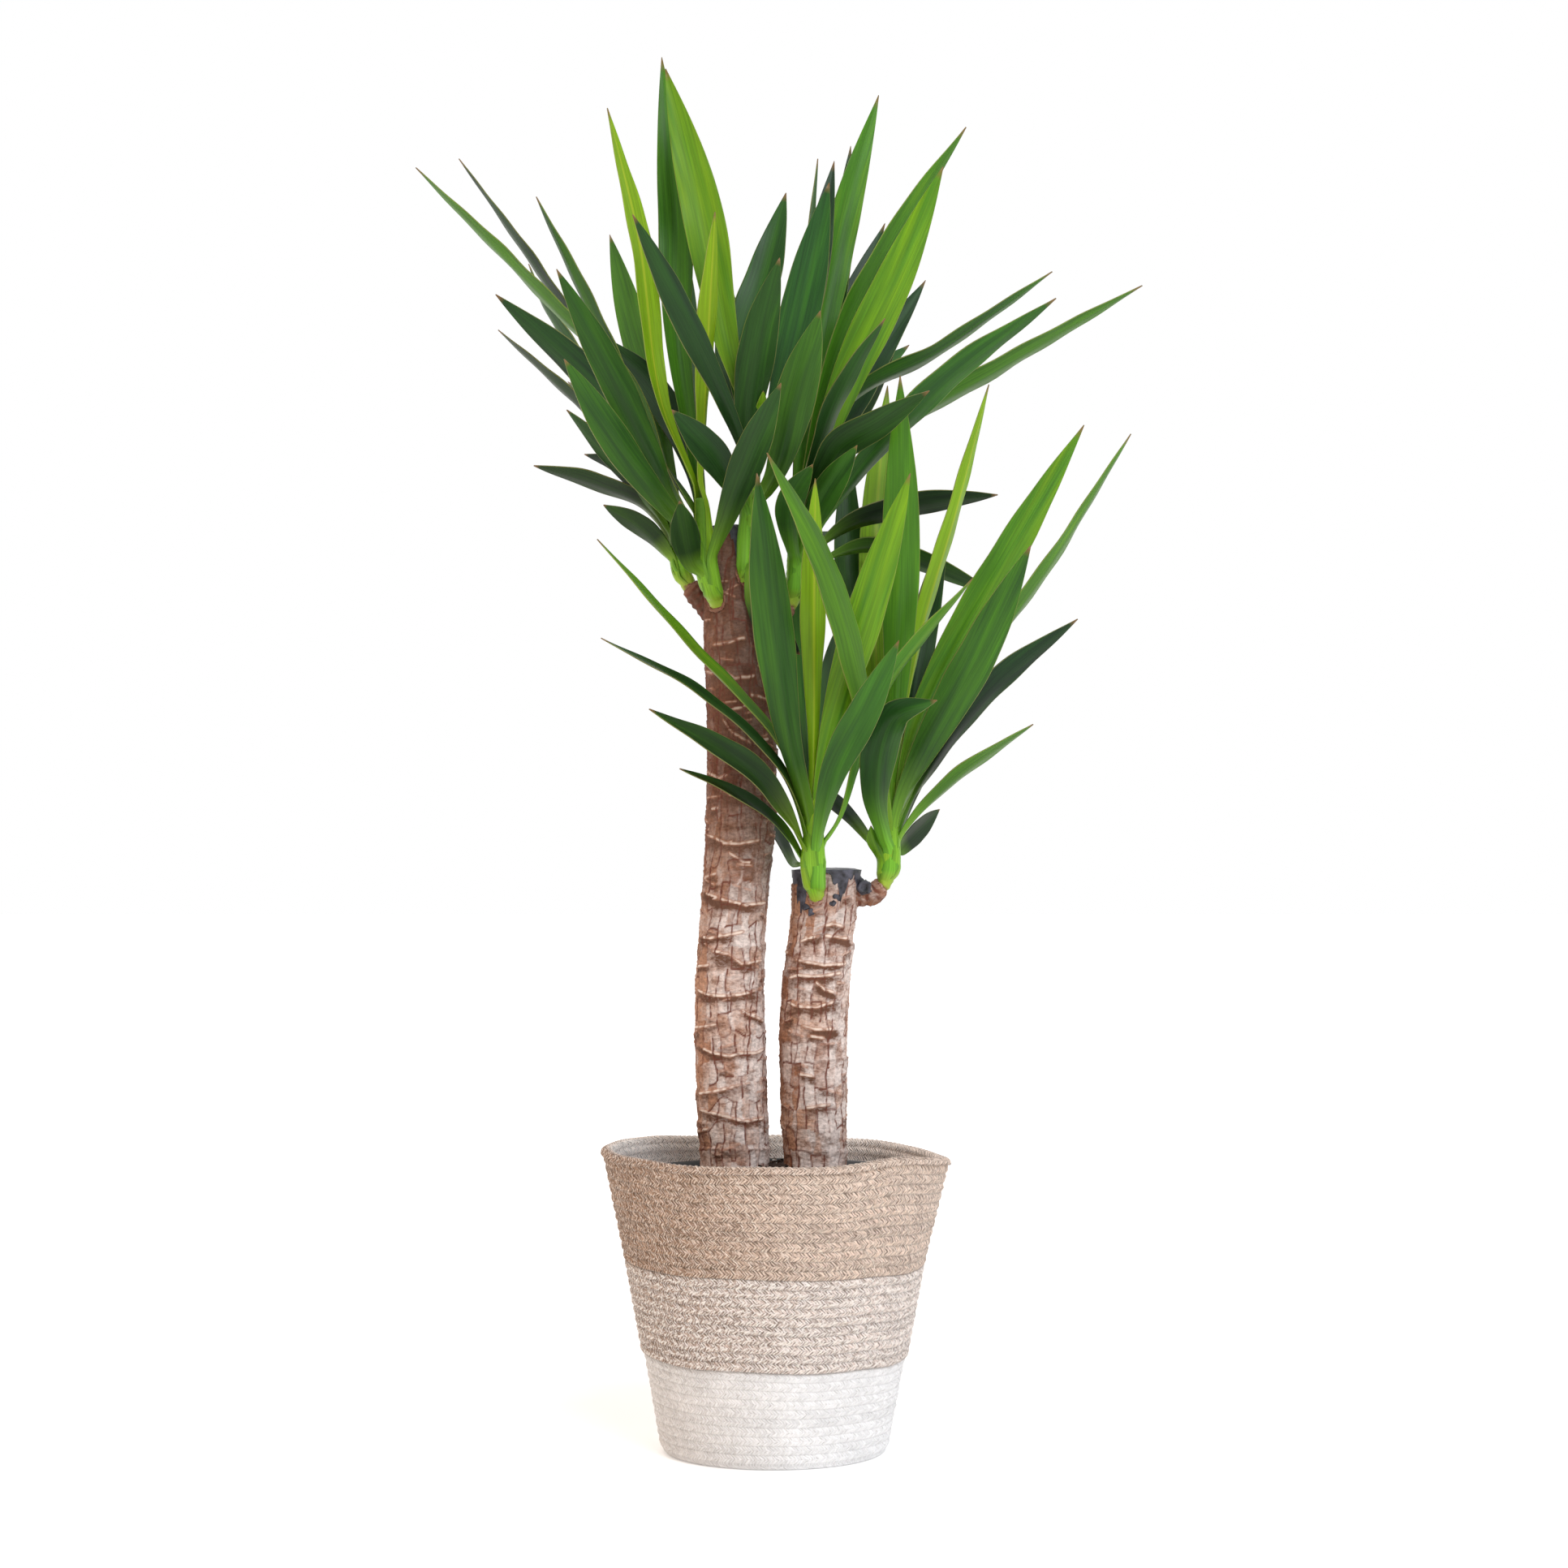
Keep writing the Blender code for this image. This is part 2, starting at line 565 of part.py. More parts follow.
def cane_rings(cane, grow):
    """The cane's skin as rings of points, each leaf scar as a lip with a step back above it."""
    draw = random.Random(cane.seed)
    heights, middles, radii = (np.asarray(cane.shape, float) * MM).T
    # A ring's first point lies on +Y, as on a cylinder primitive, so that cane and soil hole are parallel.
    angles = math.pi / 2 + 2 * math.pi * np.arange(CANE_SIDES) / CANE_SIDES

    def ring(height, tilt, tilt_angle, proud):
        level = height + tilt * np.cos(angles - tilt_angle)
        radius = np.interp(level, heights, radii) + proud + grow
        x = np.interp(level, heights, middles) + radius * np.cos(angles)
        return np.stack([x, radius * np.sin(angles), level], axis=1)

    top = cane.top * MM
    rings = [ring(cane.foot * MM, 0, 0, 0), ring(STRAIGHT_TO, 0, 0, 0)]
    height = STRAIGHT_TO + RIDGE_TILT + RIDGE_LIP
    while height < top - CUT_CHAMFER - RIDGE_TILT - RIDGE_LIP:
        tilt = draw.uniform(0.3, 1) * RIDGE_TILT
        tilt_angle = draw.uniform(0, 2 * math.pi)
        share = 0.65 + 0.35 * np.cos(angles - draw.uniform(0, 2 * math.pi))
        proud = draw.uniform(*RIDGE_HEIGHT) * share
        rings.append(ring(height, tilt, tilt_angle, proud))
        rings.append(ring(height + RIDGE_LIP, tilt, tilt_angle, 0))
        height += draw.uniform(*RIDGE_SPACING)
    rings.append(ring(top - CUT_CHAMFER, 0, 0, 0))
    rings.append(ring(top, 0, 0, -CUT_CHAMFER))
    return np.array(rings)


def make_cane_body(cane, collection, grow=0.0, name=None):
    rings = cane_rings(cane, grow)
    count = len(rings)
    faces = []
    for i in range(count - 1):
        for j in range(CANE_SIDES):
            k = (j + 1) % CANE_SIDES
            a, b = i * CANE_SIDES + j, i * CANE_SIDES + k
            faces += [(a, b, b + CANE_SIDES), (a, b + CANE_SIDES, a + CANE_SIDES)]
    faces.append(tuple(reversed(range(CANE_SIDES))))
    faces.append(tuple(range((count - 1) * CANE_SIDES, count * CANE_SIDES)))
    return add_object(name or cane.name, rings.reshape(-1, 3), faces, collection)


def make_canes(parts, looks):
    """Both canes, each joined with its woody side stubs."""
    stubs = new_collection("stubs")
    made = {}
    for cane in CANES.values():
        body = make_cane_body(cane, parts)
        for shoot in SHOOTS:
            if shoot.cane == cane.name and shoot.stub:
                grown_tube("stub", np.asarray(shoot.stub, float) * MM, stubs, len(shoot.stub) + 1)
        body = fused(body, stubs)
        body.data.materials.clear()
        body.data.materials.append(looks["bark"])
        made[cane.name] = body
    bpy.data.collections.remove(stubs)
    return made


def make_wax_seal(cane, parts, looks):
    height, middle, radius = cane.shape[-1]
    wide = radius * MM - CUT_CHAMFER
    place = (middle * MM, 0, height * MM + GAP + WAX_THICKNESS / 2)
    bpy.ops.mesh.primitive_cylinder_add(
        vertices=CANE_SIDES, radius=wide, depth=WAX_THICKNESS, location=place
    )
    seal = bpy.context.object
    seal.name = f"{cane.name}_wax_seal"
    for holder in list(seal.users_collection):
        holder.objects.unlink(seal)
    parts.objects.link(seal)
    seal.data.materials.append(looks["wax"])
    return seal


def eye_scale(depth):
    """How much larger a thing must be to look the same size at this depth behind the plane of the canes."""
    return 1 + np.asarray(depth) / EYE_DISTANCE


def stem_table(shoot):
    """The stem's stations in metres. On a stub it starts a gap above the end face, and square to it."""
    table = np.asarray(shoot.stem, float) * MM
    if shoot.stub:
        end = np.asarray(shoot.stub[-1], float) * MM
        way = unit(end[:3] - np.asarray(shoot.stub[-2][:3], float) * MM)
        foot = [[*(end[:3] + way * rise), end[3]] for rise in (GAP, GAP + STUB_STRAIGHT)]
        table = np.vstack([foot, table])
    return table


def blade_frame(leaf, stem, nudge):
    """The blade's stations, its middle line, the direction across it and the one off its upper face."""
    line = at_shares(*stem, np.linspace(0, 1, STEM_SAMPLES))
    low = min(int(leaf.rise * (STEM_SAMPLES - 1)), STEM_SAMPLES - 2)
    axis = line[low]
    up_stem = unit(line[low + 1] - line[low])
    eye = np.array([EYE_X, EYE_HEIGHT])
    axis_seen = eye + (axis[[0, 2]] - eye) / eye_scale(axis[1])
    seen = np.vstack([axis_seen, np.asarray(leaf.route, float) * MM])
    reach = np.concatenate([[0], np.cumsum(np.linalg.norm(np.diff(seen, axis=0), axis=1))])
    depth = axis[1] + (leaf.depth * MM + nudge - axis[1]) * reach / reach[-1]
    spread = eye + (seen - eye) * eye_scale(depth)[:, None]
    points = np.stack([spread[:, 0], depth, spread[:, 1]], axis=1)
    away = points[-1] - axis
    away = unit(away - up_stem * (away @ up_stem))
    points[0] = axis + away * ROOT_OFFSET
    curve, lengths = smooth_curve(points, up_stem)
    stations = np.array(LONG_STATIONS if lengths[-1] > LONG_BLADE else SHORT_STATIONS)
    middle = at_shares(curve, lengths, stations)
    along = np.gradient(middle, axis=0)
    along /= np.linalg.norm(along, axis=1)[:, None]
    facing = np.stack([along[:, 2], np.zeros(len(along)), -along[:, 0]], axis=1)
    facing /= np.linalg.norm(facing, axis=1)[:, None]
    behind = np.cross(along, facing)
    clasping = np.cross(up_stem, away)
    clasp = math.degrees(math.atan2(clasping @ behind[0], clasping @ facing[0]))
    clasp += 180 * round((leaf.turn - clasp) / 180)
    ease = np.clip(stations / CLASP_TO, 0, 1)
    ease = ease * ease * (3 - 2 * ease)
    angle = leaf.turn + (leaf.twist - leaf.turn) * stations
    angle = np.radians(angle + (clasp - leaf.turn) * (1 - ease))[:, None]
    across = np.cos(angle) * facing + np.sin(angle) * behind
    off = np.cross(along, across)
    half = len(middle) // 2
    upper = unit(axis - middle[half]) * [1, 1, 0] + [0, 0, UPPER_FACE_UP]
    if off[half] @ upper < 0:
        off = -off
    return stations, middle, across, off


def blade_surface(leaf, frame, margin=0.0, shift=0.0):
    """Left edge, midrib and right edge at each station, as one array of stations by 3 by 3.

    The edges stand above the midrib, highest at the root.
    """
    stations, middle, across, off = frame
    half = leaf.width * MM * np.interp(stations, WIDTH_STATIONS, BLADE_WIDTHS)[:, None] / 2 + margin
    lift = half * np.interp(stations, CHANNEL_STATIONS, CHANNEL_DEPTHS)[:, None]
    middle = middle + off * shift
    left = middle - across * half + off * lift
    right = middle + across * half + off * lift
    return np.stack([left, middle, right], axis=1)


def clearance_tree(leaf, frame, share):
    """A search tree of the blade's space past a share of its length, with a margin all round."""
    first = np.searchsorted(frame[0], share)
    upper = blade_surface(leaf, frame, BLADE_MARGIN, BLADE_MARGIN)[first:]
    lower = blade_surface(leaf, frame, BLADE_MARGIN, -BLADE_MARGIN)[first:]
    count = len(upper)
    points = np.concatenate([upper.reshape(-1, 3), lower.reshape(-1, 3)])
    faces = []
    for i in range(count - 1):
        a, b = 3 * i, 3 * count + 3 * i
        for k in (0, 1):
            faces.append((a + k, a + k + 1, a + k + 4, a + k + 3))
            faces.append((b + k, b + k + 1, b + k + 4, b + k + 3))
        for k in (0, 2):
            faces.append((a + k, a + k + 3, b + k + 3, b + k))
    return BVHTree.FromPolygons(points.tolist(), faces)


def tree_of(made):
    points = [made.matrix_world @ v.co for v in made.data.vertices]
    return BVHTree.FromPolygons(points, [tuple(p.vertices) for p in made.data.polygons])


def settled_frames(stems, hard):
    """The frame of every leaf, by shoot.

    Each tip swings to the front or back, on the same line of sight, until its blade is clear of canes, of
    other shoots and, past its lower part, of its own shoot's leaves.
    """
    placed = []
    frames = {shoot.name: [] for shoot in SHOOTS}
    for shoot in SHOOTS:
        table = stem_table(shoot)
        line = smooth_curve(table[:, :3], unit(table[1, :3] - table[0, :3]))
        blocks = hard + [tree for name, tree in stems.items() if name != shoot.name]
        for leaf in shoot.leaves:
            strangers = [tree for name, tree, _ in placed if name != shoot.name]
            kin = [tree for name, _, tree in placed if name == shoot.name]
            tried = []
            for nudge in NUDGES:
                frame = blade_frame(leaf, line, nudge)
                whole = clearance_tree(leaf, frame, FREE_FROM)
                outer = clearance_tree(leaf, frame, FAN_FROM)
                crossed = sum(bool(whole.overlap(tree)) for tree in blocks + strangers)
                rubbed = sum(bool(outer.overlap(tree)) for tree in kin)
                tried.append((crossed, rubbed, len(tried), frame, whole, outer))
                if crossed == rubbed == 0:
                    break
            frame, whole, outer = min(tried, key=lambda t: t[:3])[3:]
            frames[shoot.name].append(frame)
            placed.append((shoot.name, whole, outer))
    return frames


def make_blade(leaf, frame, collection):
    points = blade_surface(leaf, frame).reshape(-1, 3)
    faces = []
    for a in range(0, len(points) - 3, 3):
        faces += [(a, a + 1, a + 4), (a, a + 4, a + 3)]
        faces += [(a + 1, a + 2, a + 4), (a + 2, a + 5, a + 4)]
    blade = add_object("blade", points, faces, collection)
    shell = blade.modifiers.new("thickness", "SOLIDIFY")
    shell.thickness = BLADE_THICKNESS
    shell.offset = 0


def make_shoots(parts, cutters, looks, canes, seals):
    """Each stem, cut back to the cane that it grows from and joined with its leaves."""
    stems = {}
    for shoot in SHOOTS:
        stem = grown_tube(shoot.name, stem_table(shoot), parts, STEM_RINGS)
        if not shoot.stub:
            skin = make_cane_body(CANES[shoot.cane], cutters, grow=GAP, name=f"{shoot.name}_seat_cutter")
            cut(stem, make_cutter(skin, cutters))
            stem = applied(stem, one_body=True)
        stems[shoot.name] = stem
    hard = [tree_of(made) for made in (*canes.values(), *seals)]
    frames = settled_frames({name: tree_of(stem) for name, stem in stems.items()}, hard)
    blades = new_collection("blades")
    for shoot in SHOOTS:
        for leaf, frame in zip(shoot.leaves, frames[shoot.name]):
            make_blade(leaf, frame, blades)
        made = fused(stems[shoot.name], blades)
        made.data.materials.clear()
        made.data.materials.append(looks["leaf"])
    bpy.data.collections.remove(blades)


def main():
    clear_scene()
    parts = new_collection("potted_yucca")
    cutters = new_collection("cutters")
    looks = {
        "white braid": material("white_cotton_braid", (0.83, 0.79, 0.73), 0.95),
        "mixed braid": material("mixed_jute_braid", (0.62, 0.50, 0.38), 0.95),
        "natural braid": material("natural_jute_braid", (0.55, 0.38, 0.23), 0.95),
        "pot plastic": material("black_pot_plastic", (0.02, 0.02, 0.025), 0.45),
        "soil": material("potting_soil", (0.035, 0.022, 0.015), 1),
        "bark": material("yucca_bark", (0.30, 0.17, 0.11), 0.85),
        "wax": material("black_wax", (0.02, 0.02, 0.025), 0.5),
        "leaf": material("yucca_leaf", (0.07, 0.19, 0.03), 0.4),
    }
    make_basket(parts, looks)
    make_nursery_pot(parts, cutters, looks)
    make_soil(parts, cutters, looks)
    canes = make_canes(parts, looks)
    seals = [make_wax_seal(cane, parts, looks) for cane in CANES.values()]
    bpy.context.view_layer.update()
    make_shoots(parts, cutters, looks, canes, seals)


main()
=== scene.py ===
# %% [markdown]
# # A potted yucca in a basket of three braids
#
# Two sawn yucca canes stand in a black nursery pot, and the pot stands in a round basket that is coiled and
# sewn from three long braids. Six leafy shoots have broken out of the canes near their tops.
#
# Every piece here is a surface worked out with numpy: a lattice of points that a formula moves. The packed
# solids give the places and sizes, and each finer piece keeps the form of the solid that it stands for.

# %% Load the solids
import math
import random
from functools import partial
from typing import NamedTuple

import bpy
import numpy as np
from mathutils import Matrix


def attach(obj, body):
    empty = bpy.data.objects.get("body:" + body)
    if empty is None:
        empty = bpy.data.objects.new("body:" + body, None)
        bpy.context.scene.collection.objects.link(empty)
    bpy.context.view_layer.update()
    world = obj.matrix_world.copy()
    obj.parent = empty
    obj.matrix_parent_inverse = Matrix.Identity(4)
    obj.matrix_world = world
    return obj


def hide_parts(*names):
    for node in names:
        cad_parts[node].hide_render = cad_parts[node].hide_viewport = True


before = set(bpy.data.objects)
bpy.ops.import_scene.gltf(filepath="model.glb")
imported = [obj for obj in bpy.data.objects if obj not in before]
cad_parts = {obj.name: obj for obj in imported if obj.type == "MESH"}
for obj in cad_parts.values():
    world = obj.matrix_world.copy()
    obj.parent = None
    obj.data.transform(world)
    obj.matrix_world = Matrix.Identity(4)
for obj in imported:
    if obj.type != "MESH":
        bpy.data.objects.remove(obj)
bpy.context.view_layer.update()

MM = 0.001
print("solids:", sorted(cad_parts))

# %% [markdown]
# ## Camera
#
# The picture was taken from about two and a half metres with a longish lens, level, from the height of the
# lower leaves. The horizon lies a little below the middle of the picture, so the lens is shifted up by that
# much.

# %% Camera
EYE = (7.4 * MM, -2.541, 0.475)
PICTURE_PIXELS = 1932
FOCAL_PIXELS = 3970
HORIZON_PIXEL = 1044
SENSOR_WIDTH = 36.0

camera = bpy.data.objects.new("camera", bpy.data.cameras.new("camera"))
bpy.context.scene.collection.objects.link(camera)
camera.location = EYE
camera.rotation_euler = (math.radians(90), 0, 0)
camera.data.sensor_width = SENSOR_WIDTH
camera.data.lens = FOCAL_PIXELS / PICTURE_PIXELS * SENSOR_WIDTH
camera.data.shift_y = (HORIZON_PIXEL - PICTURE_PIXELS / 2) / PICTURE_PIXELS
bpy.context.scene.camera = camera
print("lens:", round(camera.data.lens, 2), "mm, shift:", round(camera.data.shift_y, 4))

# %% [markdown]
# ## Floor and light
#
# A photo studio: a pale floor that runs out of sight, an even white room, one large soft lamp in front on
# the right and a weaker one behind, which shines through the thin leaves. Area lamps could do this too, but
# a sun lamp with a wide angle is as soft, and lights every leaf alike wherever it stands.

# %% One helper for shader nodes, and one for colours
def linear(code):
    """An sRGB hex colour as linear red, green, blue and alpha: each channel through the sRGB curve."""
    channels = np.array([int(code[k:k + 2], 16) for k in (1, 3, 5)]) / 255
    low = channels / 12.92
    high = ((channels + 0.055) / 1.055) ** 2.4
    return (*np.where(channels <= 0.04045, low, high).tolist(), 1.0)


def add_node(tree, kind, inputs, output=0, **settings):
    """Adds a node with its settings, and gives back one of its outputs.

    The inputs are named, or are listed in the order of the sockets that the node shows. Each is linked
    where it is a socket, and set where it is a value, and a hex code is a colour.
    """
    made = tree.nodes.new("ShaderNode" + kind)
    for name, value in settings.items():
        setattr(made, name, value)
    if isinstance(inputs, list):
        inputs = dict(zip([n for n, socket in enumerate(made.inputs) if socket.enabled], inputs))
    for name, value in inputs.items():
        if isinstance(value, bpy.types.NodeSocket):
            tree.links.new(value, made.inputs[name])
        else:
            made.inputs[name].default_value = linear(value) if isinstance(value, str) else value
    shown = made.outputs if isinstance(output, str) else [socket for socket in made.outputs if socket.enabled]
    return shown[output] if shown else made


def new_material(name):
    """A material whose node tree is empty, and add_node for that tree."""
    made = bpy.data.materials.new(name)
    made.use_nodes = True
    made.node_tree.nodes.clear()
    return made, partial(add_node, made.node_tree)


print("mid grey is", round(linear("#808080")[0], 3), "in linear light")


# %% Floor
FLOOR_SIDE = 40.0
FLOOR_GLOW = 0.2


def make_floor_paint():
    """Matt studio paint on a table lit from below: nearly white, no gloss, with a faint mottle."""
    paint, add = new_material("studio_floor_matt_paint")
    place = add("TexCoord", {}, "Object")
    mottle = add("TexNoise", {"Vector": place, "Scale": 10.0, "Detail": 3.0})
    colour = add("Mix", [mottle, "#f4f4f3", "#fafaf9"], data_type="RGBA")
    shader = add(
        "BsdfPrincipled", {
            "Base Color": colour, "Roughness": 0.9, "Specular IOR Level": 0.1, "Emission Color": "#ffffff",
            "Emission Strength": FLOOR_GLOW,
        },
    )
    add("OutputMaterial", {"Surface": shader})
    return paint


reach = FLOOR_SIDE / 2
corners = [(-reach, -reach, 0), (reach, -reach, 0), (reach, reach, 0), (-reach, reach, 0)]
floor_mesh = bpy.data.meshes.new("studio_floor")
floor_mesh.from_pydata(corners, [], [(0, 1, 2, 3)])
floor = bpy.data.objects.new("studio_floor", floor_mesh)
bpy.context.scene.collection.objects.link(floor)
floor_mesh.materials.append(make_floor_paint())
print("floor:", FLOOR_SIDE, "m square")


# %% Room and lamps
BACKDROP_LIGHT = 1.0
ROOM_LEFT = (0.56, 0.44, 0.35, 1.0)
ROOM_RIGHT = (0.60, 0.60, 0.62, 1.0)
LAMPS = (
    ("key_right", (24, 43), 1.4, 28, "#f2f7ff"),
    ("rim_back_left", (215, 45), 1.0, 50, "#ffffff"),
)


def add_lamp(name, way, strength, softness, tint):
    """A far soft lamp: its turn round from the front to the right and its height in degrees, and its size."""
    lamp = bpy.data.objects.new(name, bpy.data.lights.new(name, "SUN"))
    bpy.context.scene.collection.objects.link(lamp)
    lamp.data.energy = strength
    lamp.data.angle = math.radians(softness)
    lamp.data.color = linear(tint)[:3]
    lamp.rotation_euler = (math.radians(90 - way[1]), 0, math.radians(way[0]))


def make_room():
    """A bright room, warmer on the left. Its walls show white, and light the plant less than they show."""
    world = bpy.data.worlds.new("studio_room")
    world.use_nodes = True
    world.node_tree.nodes.clear()
    add = partial(add_node, world.node_tree)
    way = add("TexCoord", {}, "Generated")
    x = add("SeparateXYZ", [way])
    rightness = add("MapRange", [x, -0.6, 0.6])
    sides = add("Mix", [rightness, ROOM_LEFT, ROOM_RIGHT], data_type="RGBA")
    overhead = add("MapRange", [x.node.outputs[2], 0.0, 1.0, 0.85, 1.55])
    light = add("VectorMath", [sides, overhead], operation="SCALE")
    shown = add("LightPath", {}, "Is Camera Ray")
    glossy = shown.node.outputs["Is Glossy Ray"]
    walls = add("Math", [shown, glossy], operation="MAXIMUM")
    seen = add("Mix", [walls, light, "#ffffff"], data_type="RGBA")
    white = add("Background", {"Color": seen, "Strength": BACKDROP_LIGHT})
    add("OutputWorld", {"Surface": white})
    return world


bpy.context.scene.world = make_room()
bpy.context.scene.view_settings.view_transform = "Standard"
for row in LAMPS:
    add_lamp(*row)
print("lamps:", len(LAMPS))

# %% [markdown]
# ## Surfaces from lattices
#
# Each shape is a stack of closed rings, one row of the lattice a ring. Neighbouring rings are joined by
# four-sided faces and the two ends by a fan of triangles, so every skin is closed. The sign of its volume
# says which way its faces look, and they are turned if that is inwards. Values that a material needs, such
# as how far along a blade a point lies, are stored on the points. Modifiers such as Screw or Skin make such
# shapes too, but a formula also knows in which row of the braid or beside which scar a point lies.


# %% Skins and pieces
class Skin(NamedTuple):
    """A closed surface: its points, its faces of four and of three points, and its named values."""

    points: np.ndarray
    quads: np.ndarray
    tris: np.ndarray
    fields: dict


def signed_volume(points, tris):
    """Volume of a closed skin: a sixth of the sum of the triple products of its triangles."""
    a, b, c = (points[tris[:, k]] for k in range(3))
    return float(np.einsum("ij,ij->", a, np.cross(b, c))) / 6


def ring_skin(lattice, fields=None, looped=False):
    """A closed skin from rings of points.

    Ring i and ring i + 1 are joined all round. With looped the last ring is joined to the first, as in a
    hoop. Otherwise each end ring gets a fan of triangles to its middle.
    """
    rows, columns = lattice.shape[:2]
    index = np.arange(rows * columns).reshape(rows, columns)
    upper = np.roll(index, -1, axis=0) if looped else index[1:]
    lower = index if looped else index[:-1]
    quads = np.stack([lower, np.roll(lower, -1, 1), np.roll(upper, -1, 1), upper], axis=-1).reshape(-1, 4)
    points = lattice.reshape(-1, 3)
    shape = (rows, columns, 3)
    values = {name: np.broadcast_to(v, shape).reshape(-1, 3) for name, v in (fields or {}).items()}
    tris = np.zeros((0, 3), int)
    if not looped:
        for ring, turn in ((index[0], -1), (index[-1], 1)):
            middle = np.full(columns, len(points))
            fan = np.stack([ring, np.roll(ring, -1), middle], axis=1)[:, ::turn]
            tris = np.vstack([tris, fan])
            points = np.vstack([points, points[ring].mean(0)])
            values = {name: np.vstack([v, v[ring].mean(0)]) for name, v in values.items()}
    halves = np.vstack([quads[:, :3], quads[:, [0, 2, 3]], tris])
    if signed_volume(points, halves) < 0:
        quads, tris = quads[:, ::-1], tris[:, ::-1]
    return Skin(points, quads, tris, values)


def triple(*values):
    """Three named values for every point: arrays and numbers, spread to one shape and put side by side."""
    return np.stack(np.broadcast_arrays(*values), axis=-1)


def make_piece(name, skins, look, smooth=True):
    """One object from many skins, at the origin, with their values as attributes of its points."""
    firsts = np.cumsum([0] + [len(skin.points) for skin in skins[:-1]])
    points = np.vstack([skin.points for skin in skins])
    quads = np.vstack([skin.quads + first for skin, first in zip(skins, firsts)])
    tris = np.vstack([skin.tris + first for skin, first in zip(skins, firsts)])
    corners = np.concatenate([quads.ravel(), tris.ravel()]).astype(np.int32)
    starts = np.concatenate([4 * np.arange(len(quads)), 4 * len(quads) + 3 * np.arange(len(tris))])
    mesh = bpy.data.meshes.new(name)
    mesh.vertices.add(len(points))
    mesh.vertices.foreach_set("co", points.astype(np.float32).ravel())
    mesh.loops.add(len(corners))
    mesh.loops.foreach_set("vertex_index", corners)
    mesh.polygons.add(len(starts))
    mesh.polygons.foreach_set("loop_start", starts.astype(np.int32))
    mesh.polygons.foreach_set("use_smooth", np.full(len(starts), smooth))
    for key in skins[0].fields:
        stored = mesh.attributes.new(key, "FLOAT_VECTOR", "POINT")
        values = np.vstack([skin.fields[key] for skin in skins])
        stored.data.foreach_set("vector", values.astype(np.float32).ravel())
    mesh.update(calc_edges=True)
    mesh.materials.append(look)
    made = bpy.data.objects.new(name, mesh)
    bpy.context.scene.collection.objects.link(made)
    print(f"{name}: {len(points)} points, {2 * len(quads) + len(tris)} triangles")
    return made


def ripples(points, wavelength, seed, count=12):
    """A smooth random field of about -1 to 1: the mean of sine waves of one length in many directions."""
    draw = np.random.default_rng(seed)
    ways = draw.normal(size=(count, 3))
    ways *= 2 * math.pi / wavelength / np.linalg.norm(ways, axis=1)[:, None]
    phases = draw.uniform(0, 2 * math.pi, count)
    return np.sin(points @ ways.T + phases).sum(-1) * math.sqrt(2 / count) / 1.6


def angle_between(a, b):
    """The turn from b to a, between minus and plus half a turn."""
    return (a - b + math.pi) % (2 * math.pi) - math.pi


def smoothstep(low, high, value):
    """0 below low, 1 above high, and an S-shaped cubic between them."""
    t = np.clip((value - low) / (high - low), 0, 1)
    return t * t * (3 - 2 * t)


print("a smooth step at a quarter of its width:", smoothstep(0, 1, 0.25))

# %% [markdown]
# ## The basket
#
# A long braid of fibre is coiled upwards, and each turn is sewn to the one below. The lower third is white
# cotton, the middle a braid of tan and white strands, the top plain jute. Each row swells out between two
# seams, and the strands cross it in a herringbone. Strands swept along the coil would need millions of
# faces. So each band is an outline turned about Z, with the rows and the strands' lobes in the mesh. Single
# strands, under 3 mm wide, and the sewing thread are in the material, which needs to know in which row a
# point lies: each ring of the mesh carries its row number, counted up the outside, over the rim and on down
# the inside.

# %% Basket shape
GAP = 0.3 * MM
SEAM = 0.1 * MM
BASKET_HEIGHT = 235 * MM
BASE_RADIUS = 89.3 * MM
RIM_RADIUS = 135.5 * MM
BRAID_THICKNESS = 7 * MM
ROW_HEIGHT = 7.2 * MM
ROW_RELIEF = 0.8 * MM
WHITE_TOP = 76.5 * MM
MIXED_TOP = 148.5 * MM
WHITE_ROWS = 10
MIXED_ROWS = 10
NATURAL_ROWS = 11
FOOT_ROUNDING = 5 * MM
BASKET_SIDES = 680
POINTS_A_ROW = 6
LOBES = 170  # strand crossings in one turn of the braid
LOBE_RELIEF = 0.4 * MM
LOBE_LEAN = 0.9
ROW_PHASE = 2.4  # each row's lobes are shifted by this much of a radian against the next row's
FRAY = 0.25 * MM
FRAY_LENGTH = 4.5 * MM
COIL_TILT = -0.016  # the braid climbs as it goes round, so its rows slope down a little to the right
COIL_FROM, COIL_FULL = 10 * MM, 70 * MM  # between these heights the slope sets in
SEAM_OUT = 4 * MM  # a band's edge lies this far inside the wall's outer face
EDGE_STEP = 1 * MM  # over this height the edge runs in to the inner face
FLOOR_CORNER = 12 * MM  # up to this height the floor bends up into the wall, on the inside
FLOOR_STEPS = 37  # steps from the foot to the middle of the underside, three to a coil
FLOOR_RELIEF = 0.5 * MM
WHITE_TUCK = 1.2 * MM  # how far the white band is drawn in at its top
MIXED_FLARE = 0.9 * MM  # how far the mixed band stands out at its foot
INNER_ROWS_FROM = 190 * MM  # above this height the inside has rows too
INNER_RELIEF = 0.7 * MM
RIM_SWELL = 2.4 * MM  # how much thicker the wall is just below its rolled row
RIM_WAVE = 1.1 * MM
RIM_REACH = 90 * MM  # how far below the rim its unevenness fades out
RIM_ROLL = 4.8 * MM  # radius of the rolled top row
RIM_ROLL_IN = 4.2 * MM  # how far its middle lies inside the wall's outer face
